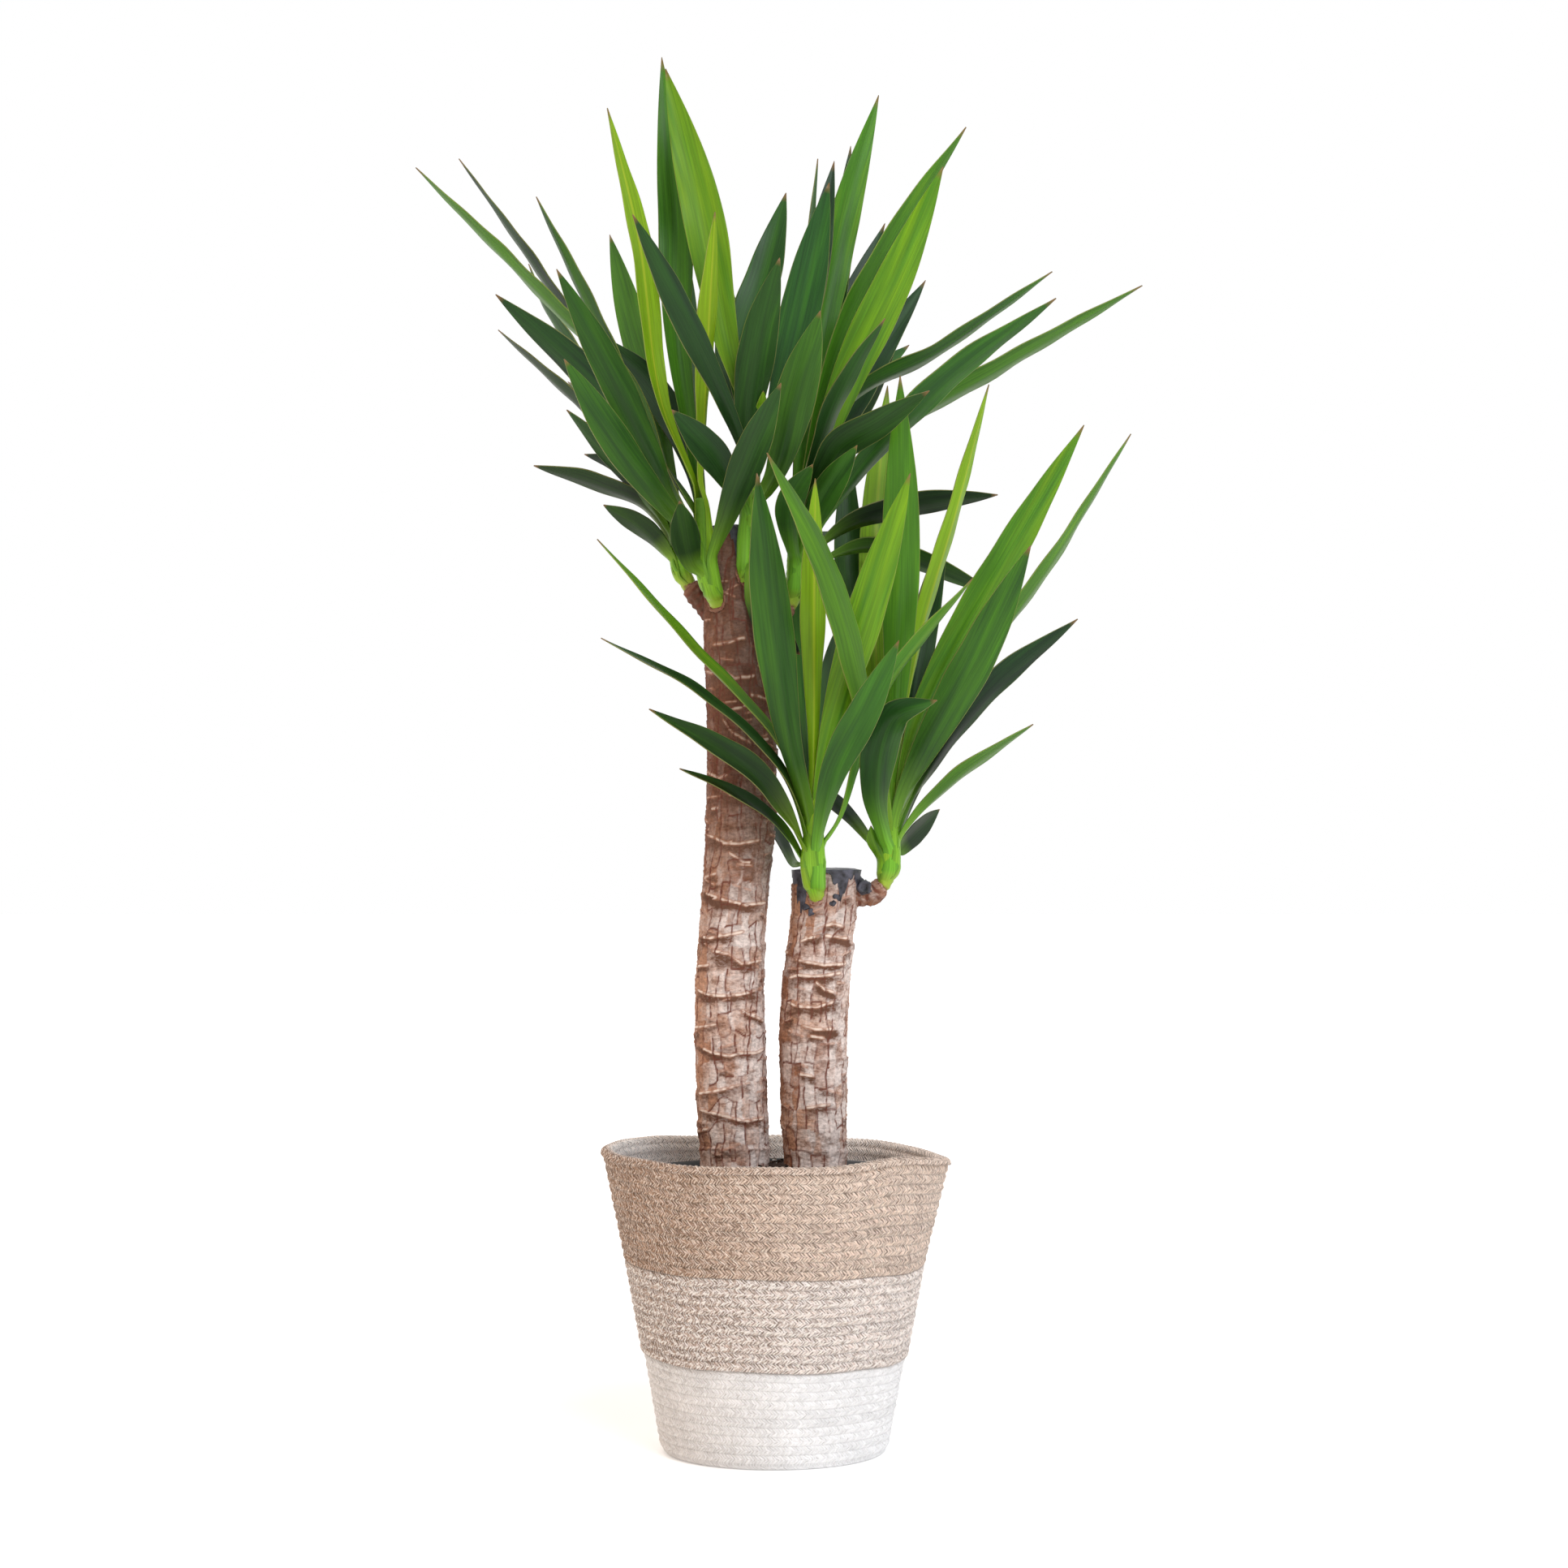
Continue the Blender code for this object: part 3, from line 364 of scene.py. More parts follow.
# Uneven places of the rim: angle from the right, half width, lift and push outwards (degrees and mm).
RIM_LIFTS = (
    (-42, 24, 5.5, 1.0), (4, 20, -3.0, 3.0), (118, 30, 1.2, 0.0), (152, 20, 2.4, 0.0), (178, 14, 2.2, 1.0),
    (-125, 30, 0.8, 0.0),
)
SHOULDER = BASKET_HEIGHT - BRAID_THICKNESS / 3


def basket_radius(height):
    """The wall's outer radius: it widens evenly from the base to the rim."""
    return BASE_RADIUS + (RIM_RADIUS - BASE_RADIUS) * height / BASKET_HEIGHT


def turn_round(radii, heights, columns):
    """Rings of points about Z, one for each radius and height, and their angles."""
    angles = 2 * math.pi * np.arange(columns) / columns
    x = radii[:, None] * np.cos(angles)
    y = radii[:, None] * np.sin(angles)
    return np.stack([x, y, np.broadcast_to(heights[:, None], x.shape)], axis=-1), angles


def braided_rings(bottom, top, rows, flare=(0, 0)):
    """The outer side of a band, from its top down, and the row number of each ring.

    In each row the radius follows a sine arch between two seams. Lobes stand on the arch: the cosine of the
    angle times their number, shifted to one side away from the row's middle, which makes a herringbone.
    flare is how far the band's foot and top stand out.
    """
    steps = np.arange(rows * POINTS_A_ROW + 1)
    climbed = 1 - steps / steps[-1]
    heights = bottom + (top - bottom) * climbed
    share = (steps % POINTS_A_ROW) / POINTS_A_ROW
    arch = np.sin(math.pi * share) ** 0.7
    radii = basket_radius(heights) - ROW_RELIEF * (1 - arch) + flare[0] + (flare[1] - flare[0]) * climbed
    rings, angles = turn_round(radii, heights, BASKET_SIDES)
    shift = LOBE_LEAN * np.abs(2 * share - 1) * math.pi + ROW_PHASE * (steps // POINTS_A_ROW)
    lobes = np.cos(LOBES * angles + shift[:, None]) * arch[:, None] * LOBE_RELIEF
    fray = ripples(rings, FRAY_LENGTH, 4) * FRAY
    outward = np.stack([np.cos(angles), np.sin(angles), np.zeros_like(angles)], axis=-1)
    return rings + outward * (lobes - LOBE_RELIEF + fray)[..., None], rows * climbed


def plain_rings(outline):
    """Rings without lobes through a few (radius, height) points."""
    radii, heights = np.array(outline).T
    return turn_round(radii, heights, BASKET_SIDES)[0]


def rows_along(outline, start, way):
    """Row numbers along an outline: one for each ROW_HEIGHT of its length, counted up or down from start."""
    steps = np.hypot(*np.diff(np.array(outline), axis=0).T)
    return start + way * np.concatenate([[0], np.cumsum(steps)]) / ROW_HEIGHT


def inner_point(height):
    """The wall's inner face at this height, as radius and height."""
    return (basket_radius(height) - BRAID_THICKNESS, height)


def coiled(rings):
    """Rows that slope like a coil, and aren't quite level: the height changes with x and with a slow wave."""
    share = smoothstep(COIL_FROM, COIL_FULL, rings[..., 2])
    level = COIL_TILT * rings[..., 0] + 0.5 * MM * ripples(rings * (1, 1, 0), 60 * MM, 5)
    return rings + (share * level)[..., None] * np.array([0, 0, 1.0])


def basket_skin(rings, rows, inner, looped):
    """The closed skin of a band, with each ring's row number and whether it is on the inside."""
    return ring_skin(coiled(rings), {"weave": triple(rows, inner, 0.0)[:, None]}, looped)


print("rows:", WHITE_ROWS + MIXED_ROWS + NATURAL_ROWS, "with", LOBES, "crossings in each")

# %% Three bands
def white_band():
    """Floor, foot and lower wall. The foot is a quarter turn, and the underside is flat."""
    flat = BASE_RADIUS - FOOT_ROUNDING
    inside = [(0.4 * flat, BRAID_THICKNESS), (flat - BRAID_THICKNESS, BRAID_THICKNESS)]
    inside += [inner_point(FLOOR_CORNER), inner_point(WHITE_TOP - EDGE_STEP)]
    inside += [(basket_radius(WHITE_TOP) - SEAM_OUT, WHITE_TOP)]
    curve = np.linspace(0, math.pi / 2, 6)[1:]
    foot = [
        (flat + FOOT_ROUNDING * math.cos(a) - ROW_RELIEF, FOOT_ROUNDING * (1 - math.sin(a))) for a in curve
    ]
    steps = np.arange(1, FLOOR_STEPS, 2)
    foot += list(zip(flat * (1 - steps / FLOOR_STEPS), FLOOR_RELIEF * np.sin(math.pi * steps / 3) ** 2))
    wall, rows = braided_rings(FOOT_ROUNDING, WHITE_TOP, WHITE_ROWS, (0, -WHITE_TUCK))
    rows = np.concatenate([rows_along(inside[::-1], WHITE_ROWS, 1)[::-1], rows, rows_along(foot, 0, -1)])
    inner = (np.arange(len(rows)) < len(inside)).astype(float)
    return basket_skin(np.concatenate([plain_rings(inside), wall, plain_rings(foot)]), rows, inner, False)


def mixed_band():
    """The middle third of the wall, a loop of rings: up its inside and down its braided outside."""
    bottom = WHITE_TOP + SEAM
    inside = [(basket_radius(bottom) - SEAM_OUT, bottom)]
    inside += [inner_point(bottom + EDGE_STEP), inner_point(MIXED_TOP)]
    wall, rows = braided_rings(bottom, MIXED_TOP, MIXED_ROWS, (MIXED_FLARE, 0))
    rows = np.concatenate([rows_along(inside[::-1], MIXED_ROWS, 1)[::-1], rows])
    inner = (np.arange(len(rows)) < len(inside)).astype(float)
    return basket_skin(np.concatenate([plain_rings(inside), wall]), rows, inner, True)


def uneven_rim(rings):
    """Hand sewn, so the rim isn't level or quite round.

    A few broad bumps and small waves lift it and push it outwards, less and less further down.
    """
    x, y, z = rings[..., 0], rings[..., 1], rings[..., 2]
    angle, radius = np.arctan2(y, x), np.hypot(x, y)
    weight = smoothstep(BASKET_HEIGHT - RIM_REACH, BASKET_HEIGHT, z)
    lift = (ripples(rings, 95 * MM, 8) - 0.4) * RIM_WAVE
    push = ripples(rings, 70 * MM, 9) * 0.5 * RIM_WAVE
    for at, wide, up, out in RIM_LIFTS:
        off = angle_between(angle, math.radians(at))
        bump = np.exp(-((off / math.radians(wide)) ** 2))
        lift = lift + bump * up * MM
        push = push + bump * out * MM
    scale = 1 + weight * push / radius
    return np.stack([x * scale, y * scale, z + weight * lift], axis=-1)


def natural_band():
    """Upper wall with its top row rolled over: most of a circle round the wall's top, with lobes."""
    bottom = MIXED_TOP + SEAM
    inside = [(basket_radius(bottom) - SEAM_OUT, bottom), inner_point(bottom + EDGE_STEP)]
    heights = np.linspace(INNER_ROWS_FROM, SHOULDER - 4 * MM, 25)
    swell = INNER_RELIEF * np.abs(np.sin(math.pi * (heights[-1] - heights) / ROW_HEIGHT))
    swell = swell + RIM_SWELL * smoothstep(SHOULDER - 17 * MM, SHOULDER - 5 * MM, heights)
    inside += [(inner_point(z)[0] - out + ROW_RELIEF, z) for z, out in zip(heights, swell)]
    middle, level = basket_radius(SHOULDER) - RIM_ROLL_IN, SHOULDER - 2 * MM
    curve = np.linspace(math.radians(195), math.radians(-12), 18)
    roll = [(middle + RIM_ROLL * math.cos(a), level + RIM_ROLL * math.sin(a)) for a in curve]
    rolled = plain_rings(roll)
    angles = np.arctan2(rolled[..., 1], rolled[..., 0])
    lobes = LOBE_RELIEF * np.cos(LOBES * angles + 2.5 * np.abs(curve - 1.2)[:, None])
    level_share, up_share = np.cos(curve)[:, None], np.sin(curve)[:, None]
    around = triple(np.cos(angles) * level_share, np.sin(angles) * level_share, up_share)
    rolled = rolled + around * lobes[..., None]
    wall, rows = braided_rings(bottom, SHOULDER - 3 * MM, NATURAL_ROWS)
    rows = np.concatenate([rows_along((inside + roll)[::-1], NATURAL_ROWS, 1)[::-1], rows])
    inner = np.concatenate([np.ones(len(inside)), smoothstep(0.9, 2.6, curve), np.zeros(len(wall))])
    return basket_skin(uneven_rim(np.concatenate([plain_rings(inside), rolled, wall])), rows, inner, True)


print("borders between the bands:", round(WHITE_TOP / MM, 1), "and", round(MIXED_TOP / MM, 1), "mm up")

# %% [markdown]
# ## Braid materials
#
# All three braids are twisted plant fibre: dull, with no gloss, and a soft fuzz that catches light at a
# glancing angle. A picture of a weave would repeat, and would stretch where the basket widens. So the
# pattern is worked out from the angle about the basket's middle and from the row, with a whole number of
# strands in each turn. A strand is a stripe that leans one way below the middle of its row and the other way
# above it. Thin pale sewing thread runs steeply down over the rows about every 10 mm.

# %% Braid material
STRAND_PITCH = 2.6 * MM  # from one strand to the next along a row
STRAND_LEAN = 2.8  # strands that a strand passes on its way over half a row
FIBRES = 2.7  # fibre bundles to a strand
STITCHES = 72  # sewing threads in one turn, about 10 mm apart
THREAD_LEAN = 0.075  # turns of a stitch for each millimetre of height
WALL_SLOPE = (RIM_RADIUS - BASE_RADIUS) / BASKET_HEIGHT
PAINTED_SHADE_SIDE = math.radians(-70)  # the side with painted shade, darker and browner: to the left and a little to the back
# the inside's side with painted light, paler and greyer: the back left
PAINTED_LIGHT_INSIDE = math.radians(-140)


def braid_pattern(add, bottom):
    """Sockets for the pattern: place, turn from the front, height, row, row number, inside or outside.

    Then for the strand at hand: its arch from edge to crest, its fibres, how far it is from the row's middle,
    and a random value.
    """
    place = add("TexCoord", {}, "Object")
    x = add("SeparateXYZ", [place])
    y, z = x.node.outputs[1], x.node.outputs[2]
    front = add("Math", [y, -1.0], operation="MULTIPLY")
    angle = add("Math", [x, front], operation="ARCTAN2")
    weave = add("Attribute", {}, "Vector", attribute_name="weave")
    row = add("SeparateXYZ", [weave])
    inner = row.node.outputs[1]
    row_share = add("Math", [row], operation="FRACT")
    row_number = add("Math", [row], operation="FLOOR")
    from_middle = add("Math", [row_share, 0.5], operation="SUBTRACT")
    chevron = add("Math", [from_middle], operation="ABSOLUTE")
    lean = add("Math", [chevron, STRAND_LEAN], operation="MULTIPLY")
    stagger = add("Math", [row_number, 0.382, lean], operation="MULTIPLY_ADD")
    wander = add("TexNoise", {"Vector": place, "Scale": 150.0, "Detail": 1.0})
    wandered = add("Math", [wander, 1.3, stagger], operation="MULTIPLY_ADD")
    # A whole number of strands in each turn: the row's length by the pitch.
    rise, start = ROW_HEIGHT * WALL_SLOPE / STRAND_PITCH, (BASE_RADIUS + WALL_SLOPE * bottom) / STRAND_PITCH
    wanted = add("Math", [row_number, rise, start], operation="MULTIPLY_ADD")
    in_turn = add("Math", [wanted, 2 * math.pi], operation="MULTIPLY")
    whole = add("Math", [in_turn], operation="ROUND")
    turns = add("Math", [whole, 2 * math.pi], operation="DIVIDE")
    strand = add("Math", [angle, turns, wandered], operation="MULTIPLY_ADD")
    wave = add("Math", [strand, math.pi], operation="MULTIPLY")
    sine = add("Math", [wave], operation="SINE")
    arch = add("Math", [sine], operation="ABSOLUTE")
    side = add("Math", [from_middle, 0.0], operation="GREATER_THAN")
    # Fibres: noise that is drawn out along the strand.
    across = add("Math", [strand, FIBRES], operation="MULTIPLY")
    along = add("Math", [row, 2.4], operation="MULTIPLY")
    half = add("Math", [side, 9.7, row_number], operation="MULTIPLY_ADD")
    drawn = add("CombineXYZ", [across, along, half])
    fibres = add("TexNoise", {"Vector": drawn, "Scale": 1.0, "Detail": 2.0, "Roughness": 0.65})
    ridged = add("Math", [arch, 0.13, fibres], operation="MULTIPLY_ADD")
    number = add("Math", [strand], operation="FLOOR")
    cell = add("CombineXYZ", [number, row_number, side])
    chance = add("TexWhiteNoise", {"Vector": cell}, "Value", noise_dimensions="3D")
    return place, angle, z, row, row_number, inner, arch, ridged, chevron, chance


def thread_lines(add, angle, z, both_ways):
    """1 on the sewing threads, which run down over the rows, one way or both ways round."""
    height = add("Math", [z, THREAD_LEAN / MM], operation="MULTIPLY")
    place = add("TexCoord", {}, "Object")
    drift = add("TexNoise", {"Vector": place, "Scale": 22.0, "Detail": 3.0})
    level = add("Math", [drift, 2.2, height], operation="MULTIPLY_ADD")
    line = None
    for way in (1, -1)[: 2 if both_ways else 1]:
        turns = way * STITCHES / (2 * math.pi)
        run = add("Math", [angle, turns, level], operation="MULTIPLY_ADD")
        share = add("Math", [run], operation="FRACT")
        off = add("Math", [share, 0.5], operation="SUBTRACT")
        far = add("Math", [off], operation="ABSOLUTE")
        drawn = add("MapRange", [far, 0.014, 0.034, 1.0, 0.0])
        line = add("Math", [line, drawn], operation="MAXIMUM") if line else drawn
    return line


def slub_marks(add, angle, z, row):
    """1 on thick white slubs: noise drawn out up to the right, kept to the lower half of each row."""
    length = add("Math", [angle, 0.108 / (1 * MM)], operation="MULTIPLY")
    level = add("Math", [z, 1 / MM], operation="MULTIPLY")
    rising = add("Math", [level, 0.5, length], operation="MULTIPLY_ADD")
    across = add("Math", [length, -0.5, level], operation="MULTIPLY_ADD")
    far = add("Math", [rising, 0.19], operation="MULTIPLY")
    near = add("Math", [across, 0.55], operation="MULTIPLY")
    drawn = add("CombineXYZ", [far, near])
    lumps = add("TexNoise", {"Vector": drawn, "Scale": 1.0, "Detail": 1.0})
    wave = add("Math", [row, 2 * math.pi, -1.3], operation="MULTIPLY_ADD")
    swing = add("Math", [wave], operation="SINE")
    lined = add("Math", [swing, 0.07, lumps], operation="MULTIPLY_ADD")
    return add("MapRange", [lined, 0.57, 0.66, 0.0, 0.85])


def make_braid(name, bottom, strand, light, pit, depth, pitting, crest_highlight, thread, slubs, side_shade):
    """Fuzzy fibre braid, from the height of its foot and its colours.

    strand, light and pit are the colours of a strand, of the painted highlight on its crests and of the
    painted shade in the pits between fibres. depth is how strong the shades and pits are, pitting how many
    pits there are, crest_highlight how strong the highlight is, thread the sewing thread's colour, slubs
    whether thick white strands run through it, and side_shade how much browner the side with painted shade
    is.
    """
    braid, add = new_material(name)
    place, angle, z, row, row_number, inner, arch, fibres, chevron, chance = braid_pattern(add, bottom)
    second = add("SeparateXYZ", [chance.node.outputs["Color"]])
    row_luck = add("TexWhiteNoise", {"W": row_number}, "Value", noise_dimensions="1D")
    patches = add("TexNoise", {"Vector": place, "Scale": 30.0, "Detail": 3.0})
    # Strands, each with its own shade, in rows that differ a little.
    shade = add("MapRange", [second, 0.0, 1.0, 1 - 0.26 * depth, 1 + 0.15 * depth])
    broad = add("MapRange", [patches, 0.3, 0.7, 0.92, 1.06])
    toned = add("Math", [shade, broad], operation="MULTIPLY")
    row_tone = add("MapRange", [row_luck, 0.0, 1.0, 1 - 0.13 * depth, 1 + 0.06 * depth])
    rowed = add("Math", [toned, row_tone], operation="MULTIPLY")
    # Painted shade in the hollow where two rows meet.
    seam = add("MapRange", [chevron, 0.36, 0.5, 1.0, 1 - 0.42 * depth])
    seamed = add("Math", [rowed, seam], operation="MULTIPLY")
    varied = add("VectorMath", [linear(strand)[:3], seamed], operation="SCALE")
    # Painted shade: the outside is darker and browner on the side away from the lamp.
    # Painted light: the inside is paler and greyer at the back left, where the lamp shines in.
    turned = add("Math", [angle, PAINTED_SHADE_SIDE], operation="SUBTRACT")
    way = add("Math", [turned], operation="COSINE")
    shaded = add("MapRange", [way, 0.15, 1.0, 0.0, side_shade])
    deep = add("VectorMath", [varied, (0.5, 0.35, 0.23)], operation="MULTIPLY")
    side_shaded = add("Mix", [shaded, varied, deep], data_type="RGBA")
    to_grey = add("Math", [angle, PAINTED_LIGHT_INSIDE], operation="SUBTRACT")
    greyest = add("Math", [to_grey], operation="COSINE")
    paled = add("MapRange", [greyest, -0.2, 0.7, 0.35, 1.0])
    inside_light = add("Math", [inner, paled], operation="MULTIPLY")
    inside_lit = add("Mix", [inside_light, side_shaded, "#fcf8f2"], data_type="RGBA")
    # Painted highlight on the fibres' crests, and painted shade in the pits between fibres and strands.
    lit = add("MapRange", [fibres, 0.61, 0.67, 0.0, crest_highlight])
    highlighted = add("Mix", [lit, inside_lit, light], data_type="RGBA")
    hollow = add("MapRange", [fibres, pitting, pitting - 0.09, 0.0, min(1, depth)])
    between = add("MapRange", [arch, 0.1, 0.55, 1.0, 0.45])
    pits = add("Math", [hollow, between], operation="MULTIPLY")
    pit_shaded = add("Mix", [pits, highlighted, pit], data_type="RGBA")
    marks = slub_marks(add, angle, z, row) if slubs else 0.0
    woven = add("Mix", [marks, pit_shaded, "#fbf4ec"], data_type="RGBA")
    line = thread_lines(add, angle, z, slubs)
    worn = add("MapRange", [patches, 0.4, 0.6, 0.25, 0.95])
    outside = add("Math", [worn, inner], operation="SUBTRACT", use_clamp=True)
    sunk = add("MapRange", [fibres, 0.5, 0.6, 0.25, 1.0])
    on_top = add("Math", [outside, sunk], operation="MULTIPLY")
    seen = add("Math", [line, on_top], operation="MULTIPLY")
    colour = add("Mix", [seen, woven, thread], data_type="RGBA")
    # Relief: arched strands, rounded off towards the seam, and threads on top.
    rounded = add("MapRange", [chevron, 0.3, 0.5, 1.0, 0.6])
    bulge = add("Math", [arch, rounded], operation="MULTIPLY")
    fuzzy = add("Math", [fibres, 1.6, bulge], operation="MULTIPLY_ADD")
    raised = add("Math", [seen, 0.4, fuzzy], operation="MULTIPLY_ADD")
    bump = add("Bump", {"Height": raised, "Strength": 0.7, "Distance": 0.7 * MM})
    shader = add(
        "BsdfPrincipled", {
            "Base Color": colour, "Roughness": 0.92, "Specular IOR Level": 0.2, "Sheen Weight": 0.2,
            "Sheen Roughness": 0.6, "Normal": bump,
        },
    )
    add("OutputMaterial", {"Surface": shader})
    return braid


print("strands in the lowest row:", round(2 * math.pi * basket_radius(FOOT_ROUNDING) / STRAND_PITCH))

# %% Basket pieces
white_cotton = make_braid(
    "white_cotton_braid_sewn", FOOT_ROUNDING, "#f8f8f8", "#fdfdfc", "#847b70", 0.4, 0.485, 0.4,
    "#fdfcf9", False, 0.36,
)
mixed_jute = make_braid(
    "mixed_jute_and_cotton_braid_sewn", WHITE_TOP, "#e0cfc4", "#fdf9f6", "#5a4939", 1.0, 0.56, 0.7,
    "#fffaf2", True, 0.75,
)
natural_jute = make_braid(
    "natural_jute_braid_sewn", MIXED_TOP, "#d9c1af", "#fbebdc", "#4a3727", 1.0, 0.56, 0.6,
    "#fff5e8", False, 1.0,
)
white_wall = make_piece("white_braid_wall", [white_band()], white_cotton)
mixed_wall = make_piece("mixed_braid_wall", [mixed_band()], mixed_jute)
natural_wall = make_piece("natural_braid_wall", [natural_band()], natural_jute)
for piece, node, slot in (
    (white_wall, "basket_white_braid", "white_braid"),
    (mixed_wall, "basket_mixed_braid", "mixed_braid"),
    (natural_wall, "basket_natural_braid", "natural_braid"),
):
    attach(piece, "root")
    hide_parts(node)

# %% [markdown]
# ## Nursery pot and soil
#
# The pot is thin black polypropylene, blow moulded, with a rolled lip. Only its lip shows, inside the
# basket. It is a profile turned about Z. The soil is peat with bark chips and a few white perlite grains.
# Its skin is a turned profile too, roughened by waves of several lengths, and loose crumbs lie on it. A
# particle system could strew them, but crumbs that are drawn into one mesh can be exported as they are.

# %% Nursery pot
POT_FLOOR_RADIUS = 77.5 * MM
POT_RIM_RADIUS = 116.5 * MM
POT_TOP = 218.5 * MM
POT_WALL = 2 * MM
LIP_WIDTH = 3.5 * MM
LIP_HEIGHT = 12 * MM
LIP_RADIUS = 2 * MM
POT_CORNER = 2 * MM
POT_MIDDLE = 10 * MM  # the profile starts and ends this far from the axis, and a fan closes the rest
POT_SIDES = 120
POT_FOOT = BRAID_THICKNESS + GAP


def pot_radius(height):
    """Outer radius of the nursery pot's wall."""
    return POT_FLOOR_RADIUS + (POT_RIM_RADIUS - POT_FLOOR_RADIUS) * (height - POT_FOOT) / (POT_TOP - POT_FOOT)


def pot_profile():
    """From the floor's middle up the inside, over the rolled lip and down the outside."""
    floor_level = POT_FOOT + POT_WALL
    points = [(POT_MIDDLE, floor_level), (pot_radius(floor_level) - POT_WALL - POT_CORNER, floor_level)]
    up = (floor_level + POT_CORNER, 120 * MM, 200 * MM, POT_TOP - LIP_RADIUS)
    points += [(pot_radius(z) - POT_WALL, z) for z in up]
    middle = POT_RIM_RADIUS + (LIP_WIDTH - POT_WALL) / 2
    half = (LIP_WIDTH + POT_WALL) / 2
    turn = np.linspace(math.pi, 0, 9)
    points += [(middle + half * math.cos(a), POT_TOP - LIP_RADIUS + LIP_RADIUS * math.sin(a)) for a in turn]
    under = POT_TOP - LIP_HEIGHT
    points += [(middle + half, under), (middle + half - 1 * MM, under - 0.5 * MM), (pot_radius(under), under)]
    points += [(pot_radius(z), z) for z in (150 * MM, 80 * MM, POT_FOOT + 3 * MM)]
    points += [(POT_FLOOR_RADIUS - 3 * MM, POT_FOOT), (POT_MIDDLE, POT_FOOT)]
    return np.array(points)


def make_pot_plastic():
    """Black polypropylene, blow moulded: satin, with a faint orange-peel skin and grey soil dust."""
    plastic, add = new_material("black_polypropylene_blow_moulded")
    place = add("TexCoord", {}, "Object")
    dust = add("TexNoise", {"Vector": place, "Scale": 60.0, "Detail": 5.0})
    dusty = add("MapRange", [dust, 0.45, 0.75, 0.0, 0.5])
    colour = add("Mix", [dusty, "#17181c", "#4a453f"], data_type="RGBA")
    peel = add("TexNoise", {"Vector": place, "Scale": 900.0, "Detail": 1.0})
    bump = add("Bump", {"Height": peel, "Strength": 0.15, "Distance": 0.2 * MM})
    rough = add("MapRange", [dusty, 0.0, 1.0, 0.38, 0.7])
    shader = add("BsdfPrincipled", {"Base Color": colour, "Roughness": rough, "IOR": 1.49, "Normal": bump})
    add("OutputMaterial", {"Surface": shader})
    return plastic


profile = pot_profile()
pot_rings = turn_round(profile[:, 0], profile[:, 1], POT_SIDES)[0]
pot = make_piece("nursery_pot_shell", [ring_skin(pot_rings)], make_pot_plastic())
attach(pot, "root")
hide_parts("nursery_pot")


# %% Canes' sizes, repeated from the solids
class Cane(NamedTuple):
    """A trunk section: foot, sawn top, and (height, middle, radius) up its length, in millimetres."""

    name: str
    foot: float
    top: float
    shape: tuple
    seed: int


STRAIGHT_TO = 232 * MM
RIDGE_SPACING = (17 * MM, 27 * MM)
RIDGE_HEIGHT = (0.5 * MM, 1.5 * MM)
RIDGE_LIP = 2.4 * MM
RIDGE_TILT = 3 * MM
CUT_CHAMFER = 2 * MM
WAX_THICKNESS = 1.5 * MM
TALL_CANE = Cane(
    "tall_cane",
    127,
    727,
    (
        (127, -31.4, 27.2), (232, -31.4, 27.2), (269, -33.3, 27.5), (328, -35.2, 27.5), (367, -35.5, 26.6),
        (406, -33.6, 26), (446, -30.4, 26), (478, -27.8, 26.6), (503, -26.9, 27), (554, -25.6, 27),
        (580, -27.5, 25.8), (606, -29.1, 25), (631, -31.4, 24), (657, -33, 22.8), (695, -33.5, 20.5),
        (727, -34, 18.5),
    ),
    5,
)
SHORT_CANE = Cane(
    "short_cane",
    157,
    457,
    (
        (157, 32, 24.6), (232, 32, 24.6), (269, 30.7, 25.6), (328, 30.4, 26.6), (367, 32.6, 26.3),
        (406, 36.8, 25.4), (431, 39.7, 25.6), (457, 41, 26.2),
    ),
    11,
)
CANES = (TALL_CANE, SHORT_CANE)
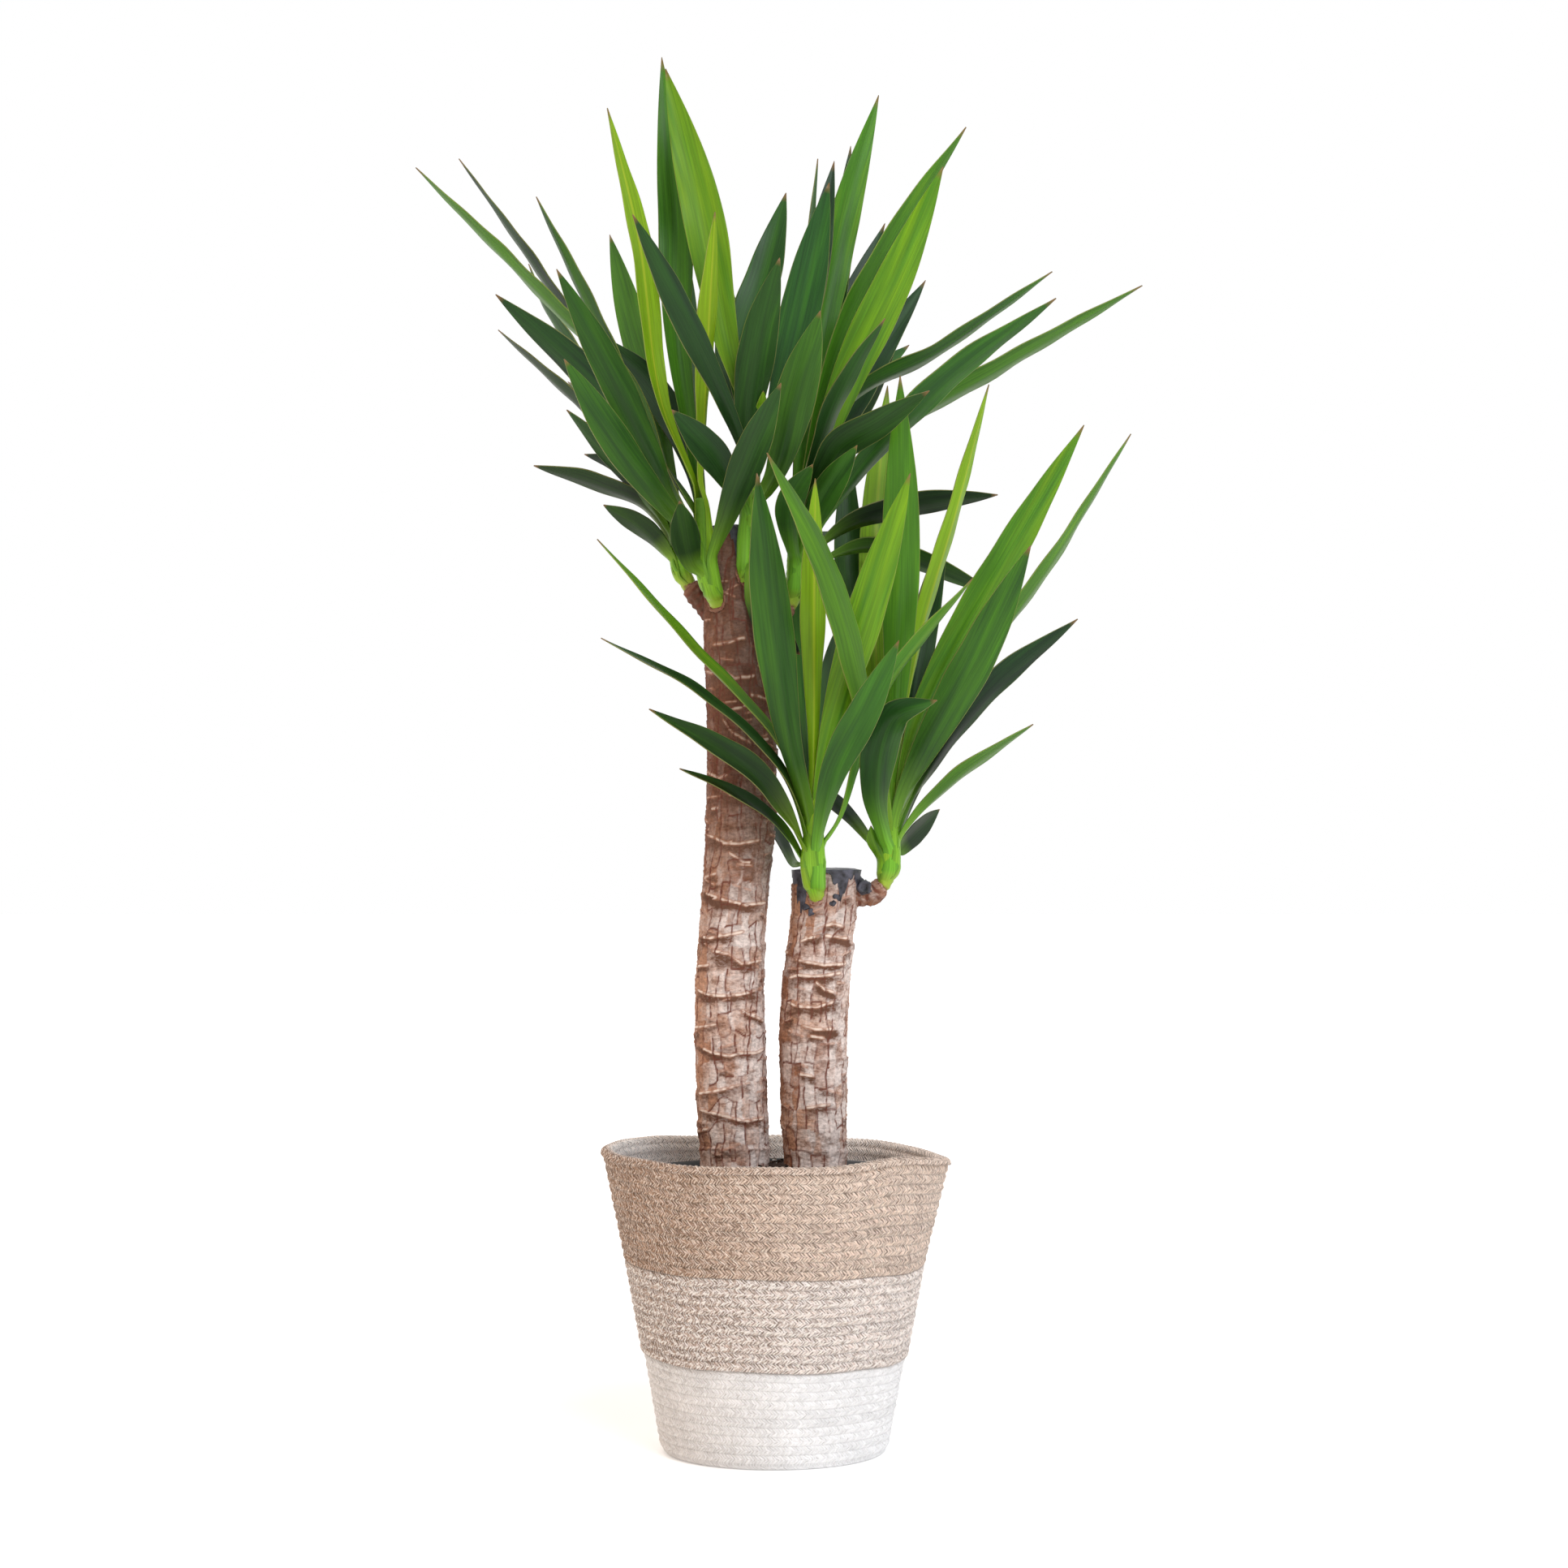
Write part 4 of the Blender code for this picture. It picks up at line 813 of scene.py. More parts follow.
# Leaf scars on the front of each cane: (x, z) in millimetres on the canes' plane, read off one by one.
SEEN_SCARS = {
    "tall_cane": (
        ((-50, 634), (-43, 634), (-36, 635), (-28, 638), (-23, 639)),
        ((-55, 614), (-45, 611), (-36, 611), (-31, 607)),
        ((-30, 607), (-26, 608), (-21, 608), (-14, 610)),
        ((-19, 594), (-13, 593), (-5, 590)),
        ((-43, 586), (-35, 583), (-27, 584), (-20, 586)),
        ((-40, 575), (-33, 565), (-16, 555)),
        ((-16, 558), (-5, 560)),
        ((-53, 535), (-48, 532), (-43, 529), (-37, 532)),
        ((-40, 519), (-31, 515), (-23, 513), (-13, 507), (-5, 501)),
        ((-49, 505), (-43, 506)),
        ((-55, 487), (-47, 483), (-37, 478), (-27, 478), (-11, 481)),
        ((-36, 471), (-31, 468), (-25, 464), (-18, 463)),
        ((-55, 451), (-44, 455)),
        ((-54, 440), (-39, 434), (-23, 430), (-6, 432)),
        ((-60, 406), (-50, 404), (-35, 407), (-25, 409)),
        ((-47, 394), (-36, 392), (-26, 384), (-9, 387)),
        ((-62, 381), (-57, 382), (-50, 383)),
        ((-62, 366), (-53, 360), (-43, 359), (-27, 360), (-15, 363)),
        ((-26, 348), (-20, 344), (-13, 341), (-9, 338)),
        ((-63, 333), (-53, 335), (-45, 337)),
        ((-59, 320), (-50, 315), (-35, 312), (-29, 314), (-15, 314), (-7, 318)),
        ((-60, 281), (-49, 284), (-36, 287), (-30, 289)),
        ((-58, 269), (-46, 267), (-34, 264), (-24, 261), (-7, 263)),
        ((-61, 251), (-50, 255)),
    ),
    "short_cane": (
        ((39, 414), (47, 415), (56, 412)),
        ((20, 401), (27, 404), (36, 406)),
        ((39, 406), (48, 405), (59, 403)),
        ((18, 387), (27, 385), (39, 383), (58, 384)),
        ((9, 371), (19, 375), (32, 374), (41, 375), (52, 377)),
        ((32, 370), (39, 364), (50, 360)),
        ((8, 356), (17, 351), (32, 350), (48, 355)),
        ((21, 336), (32, 333), (48, 333)),
        ((25, 328), (40, 326)),
        ((18, 298), (32, 296)),
        ((24, 271), (34, 273), (44, 274)),
    ),
}
print("canes:", [(cane.name, cane.top - cane.foot) for cane in CANES])

# %% Soil
SOIL_EDGE = 212 * MM
SOIL_MOUND = 226 * MM
MOUND_WIDTH = 62 * MM
SOIL_SIDES = 150
LUMPS = ((19 * MM, 21, 1.2), (8 * MM, 22, 0.8), (4 * MM, 23, 0.5))  # wavelength, seed, height in mm
CRUMBS = 900
CRUMB_SIZES = (0.8 * MM, 2.6 * MM)
CHIP_SHARE = 0.22
PERLITE_SHARE = 0.05


def soil_level(x, y):
    """Height of the soil: a low mound, highest in the middle, with lumps of three sizes."""
    radius = np.hypot(x, y)
    flat = np.stack([x, y, np.zeros_like(x)], axis=-1)
    lumps = sum(ripples(flat, length, seed) * high for length, seed, high in LUMPS)
    mound = (SOIL_MOUND - SOIL_EDGE) * np.exp(-((radius / MOUND_WIDTH) ** 2))
    return SOIL_EDGE + mound + (lumps - 0.6) * MM


def soil_skin():
    """The mound's rings from its middle out to the pot, then down the pot's wall and across its floor."""
    edge = pot_radius(SOIL_EDGE) - POT_WALL - GAP
    top = turn_round(np.linspace(0.6 * MM, edge, 64), np.zeros(64), SOIL_SIDES)[0]
    top[..., 2] = soil_level(top[..., 0], top[..., 1])
    bottom = POT_FOOT + POT_WALL + GAP
    clear = POT_WALL + GAP
    low = np.array([(pot_radius(z) - clear, z) for z in (150 * MM, 60 * MM, bottom)] + [(5 * MM, bottom)])
    rings = np.concatenate([top, turn_round(low[:, 0], low[:, 1], SOIL_SIDES)[0]])
    return ring_skin(rings, {"grain": np.array([0.0, 0.5, 0.0])})


def crumb_skins():
    """Loose crumbs: squashed eight-cornered stones at a random turn. Chips are flatter and longer."""
    draw = random.Random(31)
    corners = np.array([(1, 0, 0), (0, 1, 0), (-1, 0, 0), (0, -1, 0)], float)
    upper = corners[:, [1, 0, 2]] * [1, -1, 1] * 0.7 + [0, 0, 0.6]
    ring = np.stack([corners * 0.9 + [0, 0, -0.5], upper])
    made = []
    reach = pot_radius(SOIL_EDGE) - POT_WALL - 3 * MM
    while len(made) < CRUMBS:
        radius = reach * math.sqrt(draw.random())
        around = draw.uniform(0, 2 * math.pi)
        x, y = radius * math.cos(around), radius * math.sin(around)
        size = draw.uniform(*CRUMB_SIZES)
        if any(math.hypot(x - c.shape[1][1] * MM, y) < c.shape[1][2] * MM + size for c in CANES):
            continue
        kind = draw.random()
        chip, perlite = kind < CHIP_SHARE, kind > 1 - PERLITE_SHARE
        stretch = (draw.uniform(1.4, 2.4), 1, 0.45) if chip else (1, draw.uniform(0.7, 1), 0.75)
        turn = draw.uniform(0, 2 * math.pi)
        cosine, sine = math.cos(turn), math.sin(turn)
        spin = np.array([[cosine, -sine, 0], [sine, cosine, 0], [0, 0, 1]])
        jitter = np.array([draw.uniform(-0.25, 0.25) for _ in range(24)]).reshape(2, 4, 3)
        shape = ((ring + jitter) * np.array(stretch) * size) @ spin.T
        level = float(soil_level(np.array(x), np.array(y)))
        tone = np.array([1.0 if perlite else 0.0, draw.random(), 1.0 if chip else 0.0])
        made.append(ring_skin(shape + [x, y, level + 0.35 * size], {"grain": tone}))
    return made


def make_soil_look():
    """Moist peat: black-brown and dull. Bark chips are red-brown, and perlite is dull white."""
    soil, add = new_material("peat_soil_with_bark_and_perlite")
    place = add("TexCoord", {}, "Object")
    grain = add("Attribute", {}, "Vector", attribute_name="grain")
    parts = add("SeparateXYZ", [grain])
    mottle = add("TexNoise", {"Vector": place, "Scale": 350.0, "Detail": 6.0, "Roughness": 0.7})
    mixed = add("Math", [mottle, parts.node.outputs[1]], operation="MULTIPLY")
    share = add("MapRange", [mixed, 0.1, 0.5])
    peat = add("Mix", [share, "#1d1613", "#4b382c"], data_type="RGBA")
    wood = add("Mix", [share, "#4a2c1c", "#8a5d3c"], data_type="RGBA")
    chip = add("Mix", [parts.node.outputs[2], peat, wood], data_type="RGBA")
    colour = add("Mix", [parts.node.outputs[0], chip, "#d9d5cc"], data_type="RGBA")
    bump = add("Bump", {"Height": mottle, "Strength": 0.8, "Distance": 1.0 * MM})
    shader = add(
        "BsdfPrincipled", {
            "Base Color": colour, "Roughness": 0.95, "Specular IOR Level": 0.25, "Normal": bump,
        },
    )
    add("OutputMaterial", {"Surface": shader})
    return soil


soil_look = make_soil_look()
soil = make_piece("potting_soil_mound", [soil_skin()], soil_look)
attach(soil, "root")
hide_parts("potting_soil")
crumbs = make_piece("potting_soil_crumbs", crumb_skins(), soil_look, smooth=False)
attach(crumbs, "root")

# %% [markdown]
# ## Bark
#
# A yucca cane is ringed by the scars of fallen leaves. Each scar is a slanted lip that runs part of the way
# round, cream where the cork is fresh, with wrinkled brown skin and painted shadow below. Between the scars
# the skin has split lengthwise into plates, pale grey-pink and orange-brown, with dark cracks between them;
# painted light makes the front right paler and painted shade the left and back browner. Such skin could be
# sculpted by hand. Here, for each point of a fine lattice, the script finds the scars above and below and the
# nearest crack, moves the point in or out, and keeps the masks for the material, so that colour and relief
# agree. The broad steps stand where the solids have them, and the cream lips where they are seen.

# %% Bark relief
BARK_SIDES = 176
BARK_STEP = 1.1 * MM
HIDDEN_STEP = 12 * MM
CRACK_LINES = 31
CRACK_WIDTH = 0.6 * MM
CREASE_WIDTH = 0.7 * MM
PLATE_HEIGHT = 17 * MM
PLATE_BANDS = 64
CRACK_DEPTH = 0.8 * MM
CORD_WIDTH = 1.2 * MM
CORD_HEIGHT = 1.1 * MM
LIP_SOFT = 0.6
FINE_RELIEF = 0.45 * MM
BACK_CORDS_EVERY = 9 * MM
CRACK_CHANCE = 0.5  # share of a band's cracks that are there
CREASE_CHANCE = 0.45  # and of the creases at its lower border
FINE_FROM = STRAIGHT_TO - 25 * MM  # below this height the cane is hidden in the soil


def cane_ridges(cane):
    """The scars of the solid: (height, tilt, angle of the tilt, side that stands out, how proud) for each."""
    draw = random.Random(cane.seed)
    top = cane.top * MM
    found = []
    height = STRAIGHT_TO + RIDGE_TILT + RIDGE_LIP
    while height < top - CUT_CHAMFER - RIDGE_TILT - RIDGE_LIP:
        tilt = draw.uniform(0.3, 1) * RIDGE_TILT
        tilt_angle = draw.uniform(0, 2 * math.pi)
        side = draw.uniform(0, 2 * math.pi)
        proud = draw.uniform(*RIDGE_HEIGHT)
        found.append((height, tilt, tilt_angle, side, proud))
        height += draw.uniform(*RIDGE_SPACING)
    return np.array(found)


def scar_relief(levels, angles, ridges):
    """Relief of the solid's scars.

    Below a scar the skin flares out evenly up to its lip, and over the lip's height it steps back in.
    """
    lip_level = ridges[:, 0] + ridges[:, 1] * np.cos(angles[:, None] - ridges[:, 2])
    proud = ridges[:, 4] * (0.65 + 0.35 * np.cos(angles[:, None] - ridges[:, 3]))
    relief = np.zeros((len(levels), len(angles)))
    previous = np.full(len(angles), STRAIGHT_TO)
    for k in range(len(ridges)):
        up = np.clip((levels[:, None] - previous) / (lip_level[:, k] - previous), 0, 1)
        down = smoothstep(0, RIDGE_LIP * LIP_SOFT, levels[:, None] - lip_level[:, k])
        relief += proud[:, k] * up * (1 - down)
        previous = lip_level[:, k] + RIDGE_LIP * LIP_SOFT
    return relief


def cane_sizes(cane, levels):
    """The cane's middle and radius at these heights."""
    heights, middles, radii = (np.asarray(cane.shape, float) * MM).T
    return np.interp(levels, heights, middles), np.interp(levels, heights, radii)


def cord_lines(cane):
    """Every scar lip as angles, heights and strength: those seen on the front, and drawn ones on the rest."""
    lines = []
    for seen in SEEN_SCARS[cane.name]:
        x, z = np.array(seen, float).T * MM
        middle, radius = cane_sizes(cane, z)
        lines.append((-np.arccos(np.clip((x - middle) / radius, -0.995, 0.995)), z, 1.0))
    draw = random.Random(cane.seed + 100)
    height = STRAIGHT_TO - 10 * MM
    while height < cane.top * MM - 8 * MM:
        height += draw.uniform(0.4, 1.6) * BACK_CORDS_EVERY
        middle, half = draw.uniform(0.15, math.pi - 0.15), draw.uniform(0.3, 1.1)
        off = np.linspace(-half, half, 6)
        z = height + draw.uniform(-8, 8) * MM * off + draw.uniform(-5, 5) * MM * off**2
        lines.append((middle + off, z + 0.6 * MM * np.sin(9 * off + height / MM), draw.uniform(0.4, 1)))
        # A fainter, shorter one on the front between the seen ones.
        middle, half = draw.uniform(-math.pi, 0), draw.uniform(0.12, 0.4)
        off = np.linspace(-half, half, 4)
        lines.append((middle + off, height + draw.uniform(-12, 12) * MM * off, draw.uniform(0.25, 0.6)))
    return lines


def cord_marks(levels, angles, cane):
    """Cork lips as thin raised cords that thin out at both ends, and wrinkled brown skin with painted shadow
    below.
    """
    draw = random.Random(cane.seed + 150)
    cords = np.zeros((len(levels), len(angles)))
    shadow = np.zeros_like(cords)
    for turns, heights, strength in cord_lines(cane):
        middle, half = turns.mean(), np.ptp(turns) / 2
        off = angle_between(angles, middle)
        order = np.argsort(turns)
        line = np.interp(off, (turns - middle)[order], heights[order])
        inside = 1 - smoothstep(0.82 * half, 1.02 * half, np.abs(off))
        below = line - levels[:, None]
        wide = CORD_WIDTH * (0.6 + 0.5 * strength)
        cords = np.maximum(cords, np.exp(-((below / wide) ** 2)) * inside * (0.45 + 0.55 * strength))
        spread = 1 - smoothstep(0.5 * half, 1.25 * half, np.abs(off - draw.uniform(-0.4, 0.4) * half))
        uneven = ripples(np.stack([3 * off, 0 * off, 0 * off], axis=-1) * MM, 2 * MM, 47)
        deep = draw.uniform(7, 13) * MM * (1 + 0.35 * uneven)
        shade = smoothstep(0.3 * MM, 1.2 * MM, below) * (1 - smoothstep(0.4 * deep, deep, below))
        shadow = np.maximum(shadow, shade * spread * (0.3 + 0.7 * strength) * draw.uniform(0.55, 1))
    return cords, shadow


def crack_marks(levels, angles, cane, radius, plain):
    """How deep each point lies in a lengthwise crack or a crease across, and a random tone for each plate.

    Each crack wanders about its own angle by slow sine waves. Wavy bands about as high as a leaf scar's pitch
    divide the cane. In each band each crack is there or not, and so is the crease at the band's lower border.
    """
    draw = random.Random(cane.seed + 200)
    slow, quick = ripples(plain * [1, 1, 0], 60 * MM, 45), ripples(plain * [1, 1, 0.3], 13 * MM, 46)
    bands = (levels[:, None] + (9 * MM * slow + 2 * MM * quick)) / PLATE_HEIGHT
    band = np.floor(bands).astype(int) % PLATE_BANDS
    chance = np.random.default_rng(cane.seed + 5)
    plates = (PLATE_BANDS, CRACK_LINES)
    there = chance.uniform(0.35, 1, plates) * (chance.random(plates) < CRACK_CHANCE)
    creased = chance.uniform(0.2, 0.9, plates) * (chance.random(plates) < CREASE_CHANCE)
    cracks = np.zeros((len(levels), len(angles)))
    sector = np.zeros_like(cracks, dtype=int)
    for k in range(CRACK_LINES):
        start = 2 * math.pi * (k + draw.uniform(-0.35, 0.35)) / CRACK_LINES
        phase, second = (draw.uniform(0, 2 * math.pi) for _ in range(2))
        path = start + 0.1 * np.sin(levels / (23 * MM) + phase) + 0.025 * np.sin(levels / (4 * MM) + second)
        off = angle_between(angles[None, :], path[:, None])
        away = np.abs(off) * radius[:, None]
        shown = there[band, k] * (0.8 + 0.4 * ripples(plain, 5 * MM, 60 + k))
        cracks = np.maximum(cracks, np.exp(-((away / CRACK_WIDTH) ** 2)) * shown)
        sector += angles[None, :] > path[:, None]
    sector %= CRACK_LINES
    border = np.minimum(bands % 1, 1 - bands % 1) * PLATE_HEIGHT
    upper = np.where(bands % 1 > 0.5, (band + 1) % PLATE_BANDS, band)
    creases = np.exp(-((border / CREASE_WIDTH) ** 2)) * creased[upper, sector]
    tone = np.random.default_rng(cane.seed).random(plates)[band, sector]
    return np.maximum(cracks, creases), tone


def bark_skin(cane):
    """The cane's rings with scars, cords and cracks, up to the sawn top with its chamfer."""
    top = cane.top * MM
    levels = np.concatenate([
        np.arange(cane.foot * MM, FINE_FROM, HIDDEN_STEP),
        np.arange(FINE_FROM, top - CUT_CHAMFER, BARK_STEP),
    ])
    angles = 2 * math.pi * np.arange(BARK_SIDES) / BARK_SIDES
    middle, radius = cane_sizes(cane, levels)
    relief = scar_relief(levels, angles, cane_ridges(cane))
    cords, shadow = cord_marks(levels, angles, cane)
    below_lip = smoothstep(0.4, 1.0, relief / (0.9 * RIDGE_HEIGHT[1]))

    def ring(extra, rows=slice(None), level=levels):
        """Rings at these levels, moved out by extra."""
        wide = radius[rows, None] + extra
        x = middle[rows, None] + wide * np.cos(angles)
        return np.stack([x, wide * np.sin(angles), np.broadcast_to(level[:, None], x.shape)], axis=-1)

    plain = ring(np.zeros_like(relief))
    cords *= np.clip(0.86 + 0.36 * ripples(plain, 6 * MM, 49), 0.3, 1)
    cracks, tone = crack_marks(levels, angles, cane, radius, plain)
    # Painted shade just below the lip of each of the solid's scars.
    shadow = np.maximum(shadow, 0.6 * below_lip * (0.5 + 0.5 * ripples(plain, 12 * MM, 48)))
    rough = ripples(plain, 9 * MM, 41) * 0.6 + ripples(plain * [1, 1, 1.3], 3.4 * MM, 42) * 0.6
    rough += 1.6 * shadow * ripples(plain, 2.6 * MM, 44)
    moved = relief + CORD_HEIGHT * cords - CRACK_DEPTH * cracks * (1 - 0.7 * cords) + FINE_RELIEF * rough
    above_soil = smoothstep(STRAIGHT_TO - 40 * MM, STRAIGHT_TO - 10 * MM, levels)[:, None]
    lattice = ring(moved * above_soil)
    redness = 0.5 + 0.5 * ripples(plain * [1, 1, 0.6], 46 * MM, 43)
    fields = {
        "bark": triple(tone, cracks, cords),
        "bark_wear": triple(shadow, redness, angles),
    }
    # The sawn top: a chamfer and then a flat face.
    last = ring(np.full((1, BARK_SIDES), -CUT_CHAMFER), slice(-1, None), np.array([top]))
    lattice = np.concatenate([lattice, last])
    fields = {name: np.concatenate([v, v[-1:]]) for name, v in fields.items()}
    return ring_skin(lattice, fields)


print("scar lips:", {cane.name: len(cord_lines(cane)) for cane in CANES})


# %% Woody side stubs
STUB_WRINKLES = 34  # radians of a sine wave from a stub's foot to its end
COLLAR_INSET = 1.6 * MM  # a collar follows a line this far inside the stem's side
COLLAR_THICKNESS = 1.3 * MM


def unit(vectors):
    """A vector, or each one in an array, at length 1."""
    return vectors / np.linalg.norm(vectors, axis=-1, keepdims=True)


def walked(points):
    """The length of a line of straight pieces from its first point up to each of its points."""
    return np.concatenate([[0], np.cumsum(np.linalg.norm(np.diff(points, axis=0), axis=1))])


def smooth_curve(points, start):
    """Close points on a smooth curve through the given ones, and the length up to each.

    It is made of cubic pieces. The slope at an inner point is that of its two neighbours, and at the first
    point it is halfway to the start direction.
    """
    points = np.asarray(points, float)
    chords = np.linalg.norm(np.diff(points, axis=0), axis=1)
    knots = np.concatenate([[0], np.cumsum(chords)])
    slopes = np.empty_like(points)
    slopes[1:-1] = (points[2:] - points[:-2]) / (knots[2:] - knots[:-2])[:, None]
    slopes[0] = unit(unit(points[1] - points[0]) + start)
    slopes[-1] = unit(points[-1] - points[-2])
    along = np.linspace(0, knots[-1], 16 * len(points))
    piece = np.clip(np.searchsorted(knots, along, side="right") - 1, 0, len(chords) - 1)
    span = chords[piece][:, None]
    t = ((along - knots[piece]) / chords[piece])[:, None]
    curve = (
        (1 + 2 * t) * (1 - t) ** 2 * points[piece]
        + t * (1 - t) ** 2 * span * slopes[piece]
        + t**2 * (3 - 2 * t) * points[piece + 1]
        - t**2 * (1 - t) * span * slopes[piece + 1]
    )
    return curve, walked(curve)


def at_shares(curve, lengths, shares):
    """The curve's points at these shares of its length."""
    wanted = np.asarray(shares, float) * lengths[-1]
    return np.stack([np.interp(wanted, lengths, curve[:, axis]) for axis in range(3)], axis=1)


def tube_rings(table, count, sides, relief):
    """Rings square to a smooth line through (x, y, z, radius) stations. Relief is added to the radius."""
    first = unit(table[1, :3] - table[0, :3])
    shares = np.linspace(0, 1, count)
    line = at_shares(*smooth_curve(table[:, :3], first), shares)
    up = walked(table[:, :3])
    radii = np.interp(shares, up / up[-1], table[:, 3])
    along = unit(np.gradient(line, axis=0))
    aside = unit(np.cross(along, [0.0, 1.0, 0.0]))
    above = np.cross(aside, along)
    angles = 2 * math.pi * np.arange(sides) / sides
    outward = np.cos(angles)[None, :, None] * aside[:, None] + np.sin(angles)[None, :, None] * above[:, None]
    plain = line[:, None] + outward * radii[:, None, None]
    return plain + outward * relief(plain, shares)[..., None], shares, angles


def stub_skin(stub, seed):
    """A short woody branch stump, wrinkled across, with painted shade in its folds and a paler callus at its
    end.
    """
    table = np.asarray(stub, float) * MM

    def relief(points, shares):
        """Wrinkles across and lumps, which fade out at the end."""
        wrinkles = 0.25 * MM * np.sin(shares * STUB_WRINKLES)[:, None]
        wrinkles = wrinkles + 0.7 * MM * ripples(points, 5 * MM, seed)
        return wrinkles * np.minimum(1, 6 * (1 - shares))[:, None]

    rings, shares, angles = tube_rings(table, 40, 40, relief)
    dips = -np.sin(shares * STUB_WRINKLES)[:, None] + 0.8 * ripples(rings, 5 * MM, seed + 3)
    folds = smoothstep(0.2, 1.2, dips)
    end = smoothstep(0.8, 0.97, shares)[:, None]
    tone = 0.3 + 0.5 * ripples(rings, 7 * MM, seed + 1) + 0.4 * end
    # Painted shade: darker in the folds, and a little over the whole stub.
    shade_and_redness = triple(0.3 + 0.6 * folds, 0.7, angles)
    return ring_skin(rings, {"bark": triple(tone, 0.5 * folds, 0.3 * end), "bark_wear": shade_and_redness})


def collar_skin(shoot, cane, seed):
    """A swollen rim of bark round a shoot's foot, where its stem comes out of the cane or stands on its stub.

    For each direction round the stem it lies where the stem's side leaves the bark: the first ring of the
    stem's tube that is outside the cane.
    """
    table = stem_table(shoot)
    if shoot.stub:
        table = table[:2]
    rings, _, angles = tube_rings(table, 60, 36, lambda points, _: -COLLAR_INSET + 0 * points[..., 0])
    centre = rings.mean(1)
    middle, radius = cane_sizes(cane, rings[..., 2])
    outside = np.hypot(rings[..., 0] - middle, rings[..., 1]) - radius > 0.2 * MM
    first = np.full(len(angles), 3) if shoot.stub else outside.argmax(0)
    columns = np.arange(len(angles))
    path = rings[first, columns]
    out = unit(path - centre[first])
    up = unit(centre[-1] - centre[0])
    thick = COLLAR_THICKNESS * (1 + 0.5 * ripples(path, 5 * MM, seed))
    turns = 2 * math.pi * np.arange(10) / 10
    hoop = path + (np.cos(turns)[:, None, None] * (out * thick[:, None]))
    hoop = hoop + np.sin(turns)[:, None, None] * (up * 1.2 * thick[:, None])
    tone = 0.7 + 0.3 * ripples(hoop, 4 * MM, seed + 1)
    crease = smoothstep(0.3, 0.9, ripples(hoop, 2.5 * MM, seed + 2))
    # A faint painted shade over the whole collar, and dark creases at random.
    fields = {"bark": triple(tone, 0.6 * crease, 0.3), "bark_wear": np.array([0.1, 0.7, 0.0])}
    return ring_skin(hoop, fields, looped=True)


# %% Bark material
PAINTED_LIGHT_SIDE = math.radians(-45)  # the side of the bark with painted light, paler grey-pink: the front right
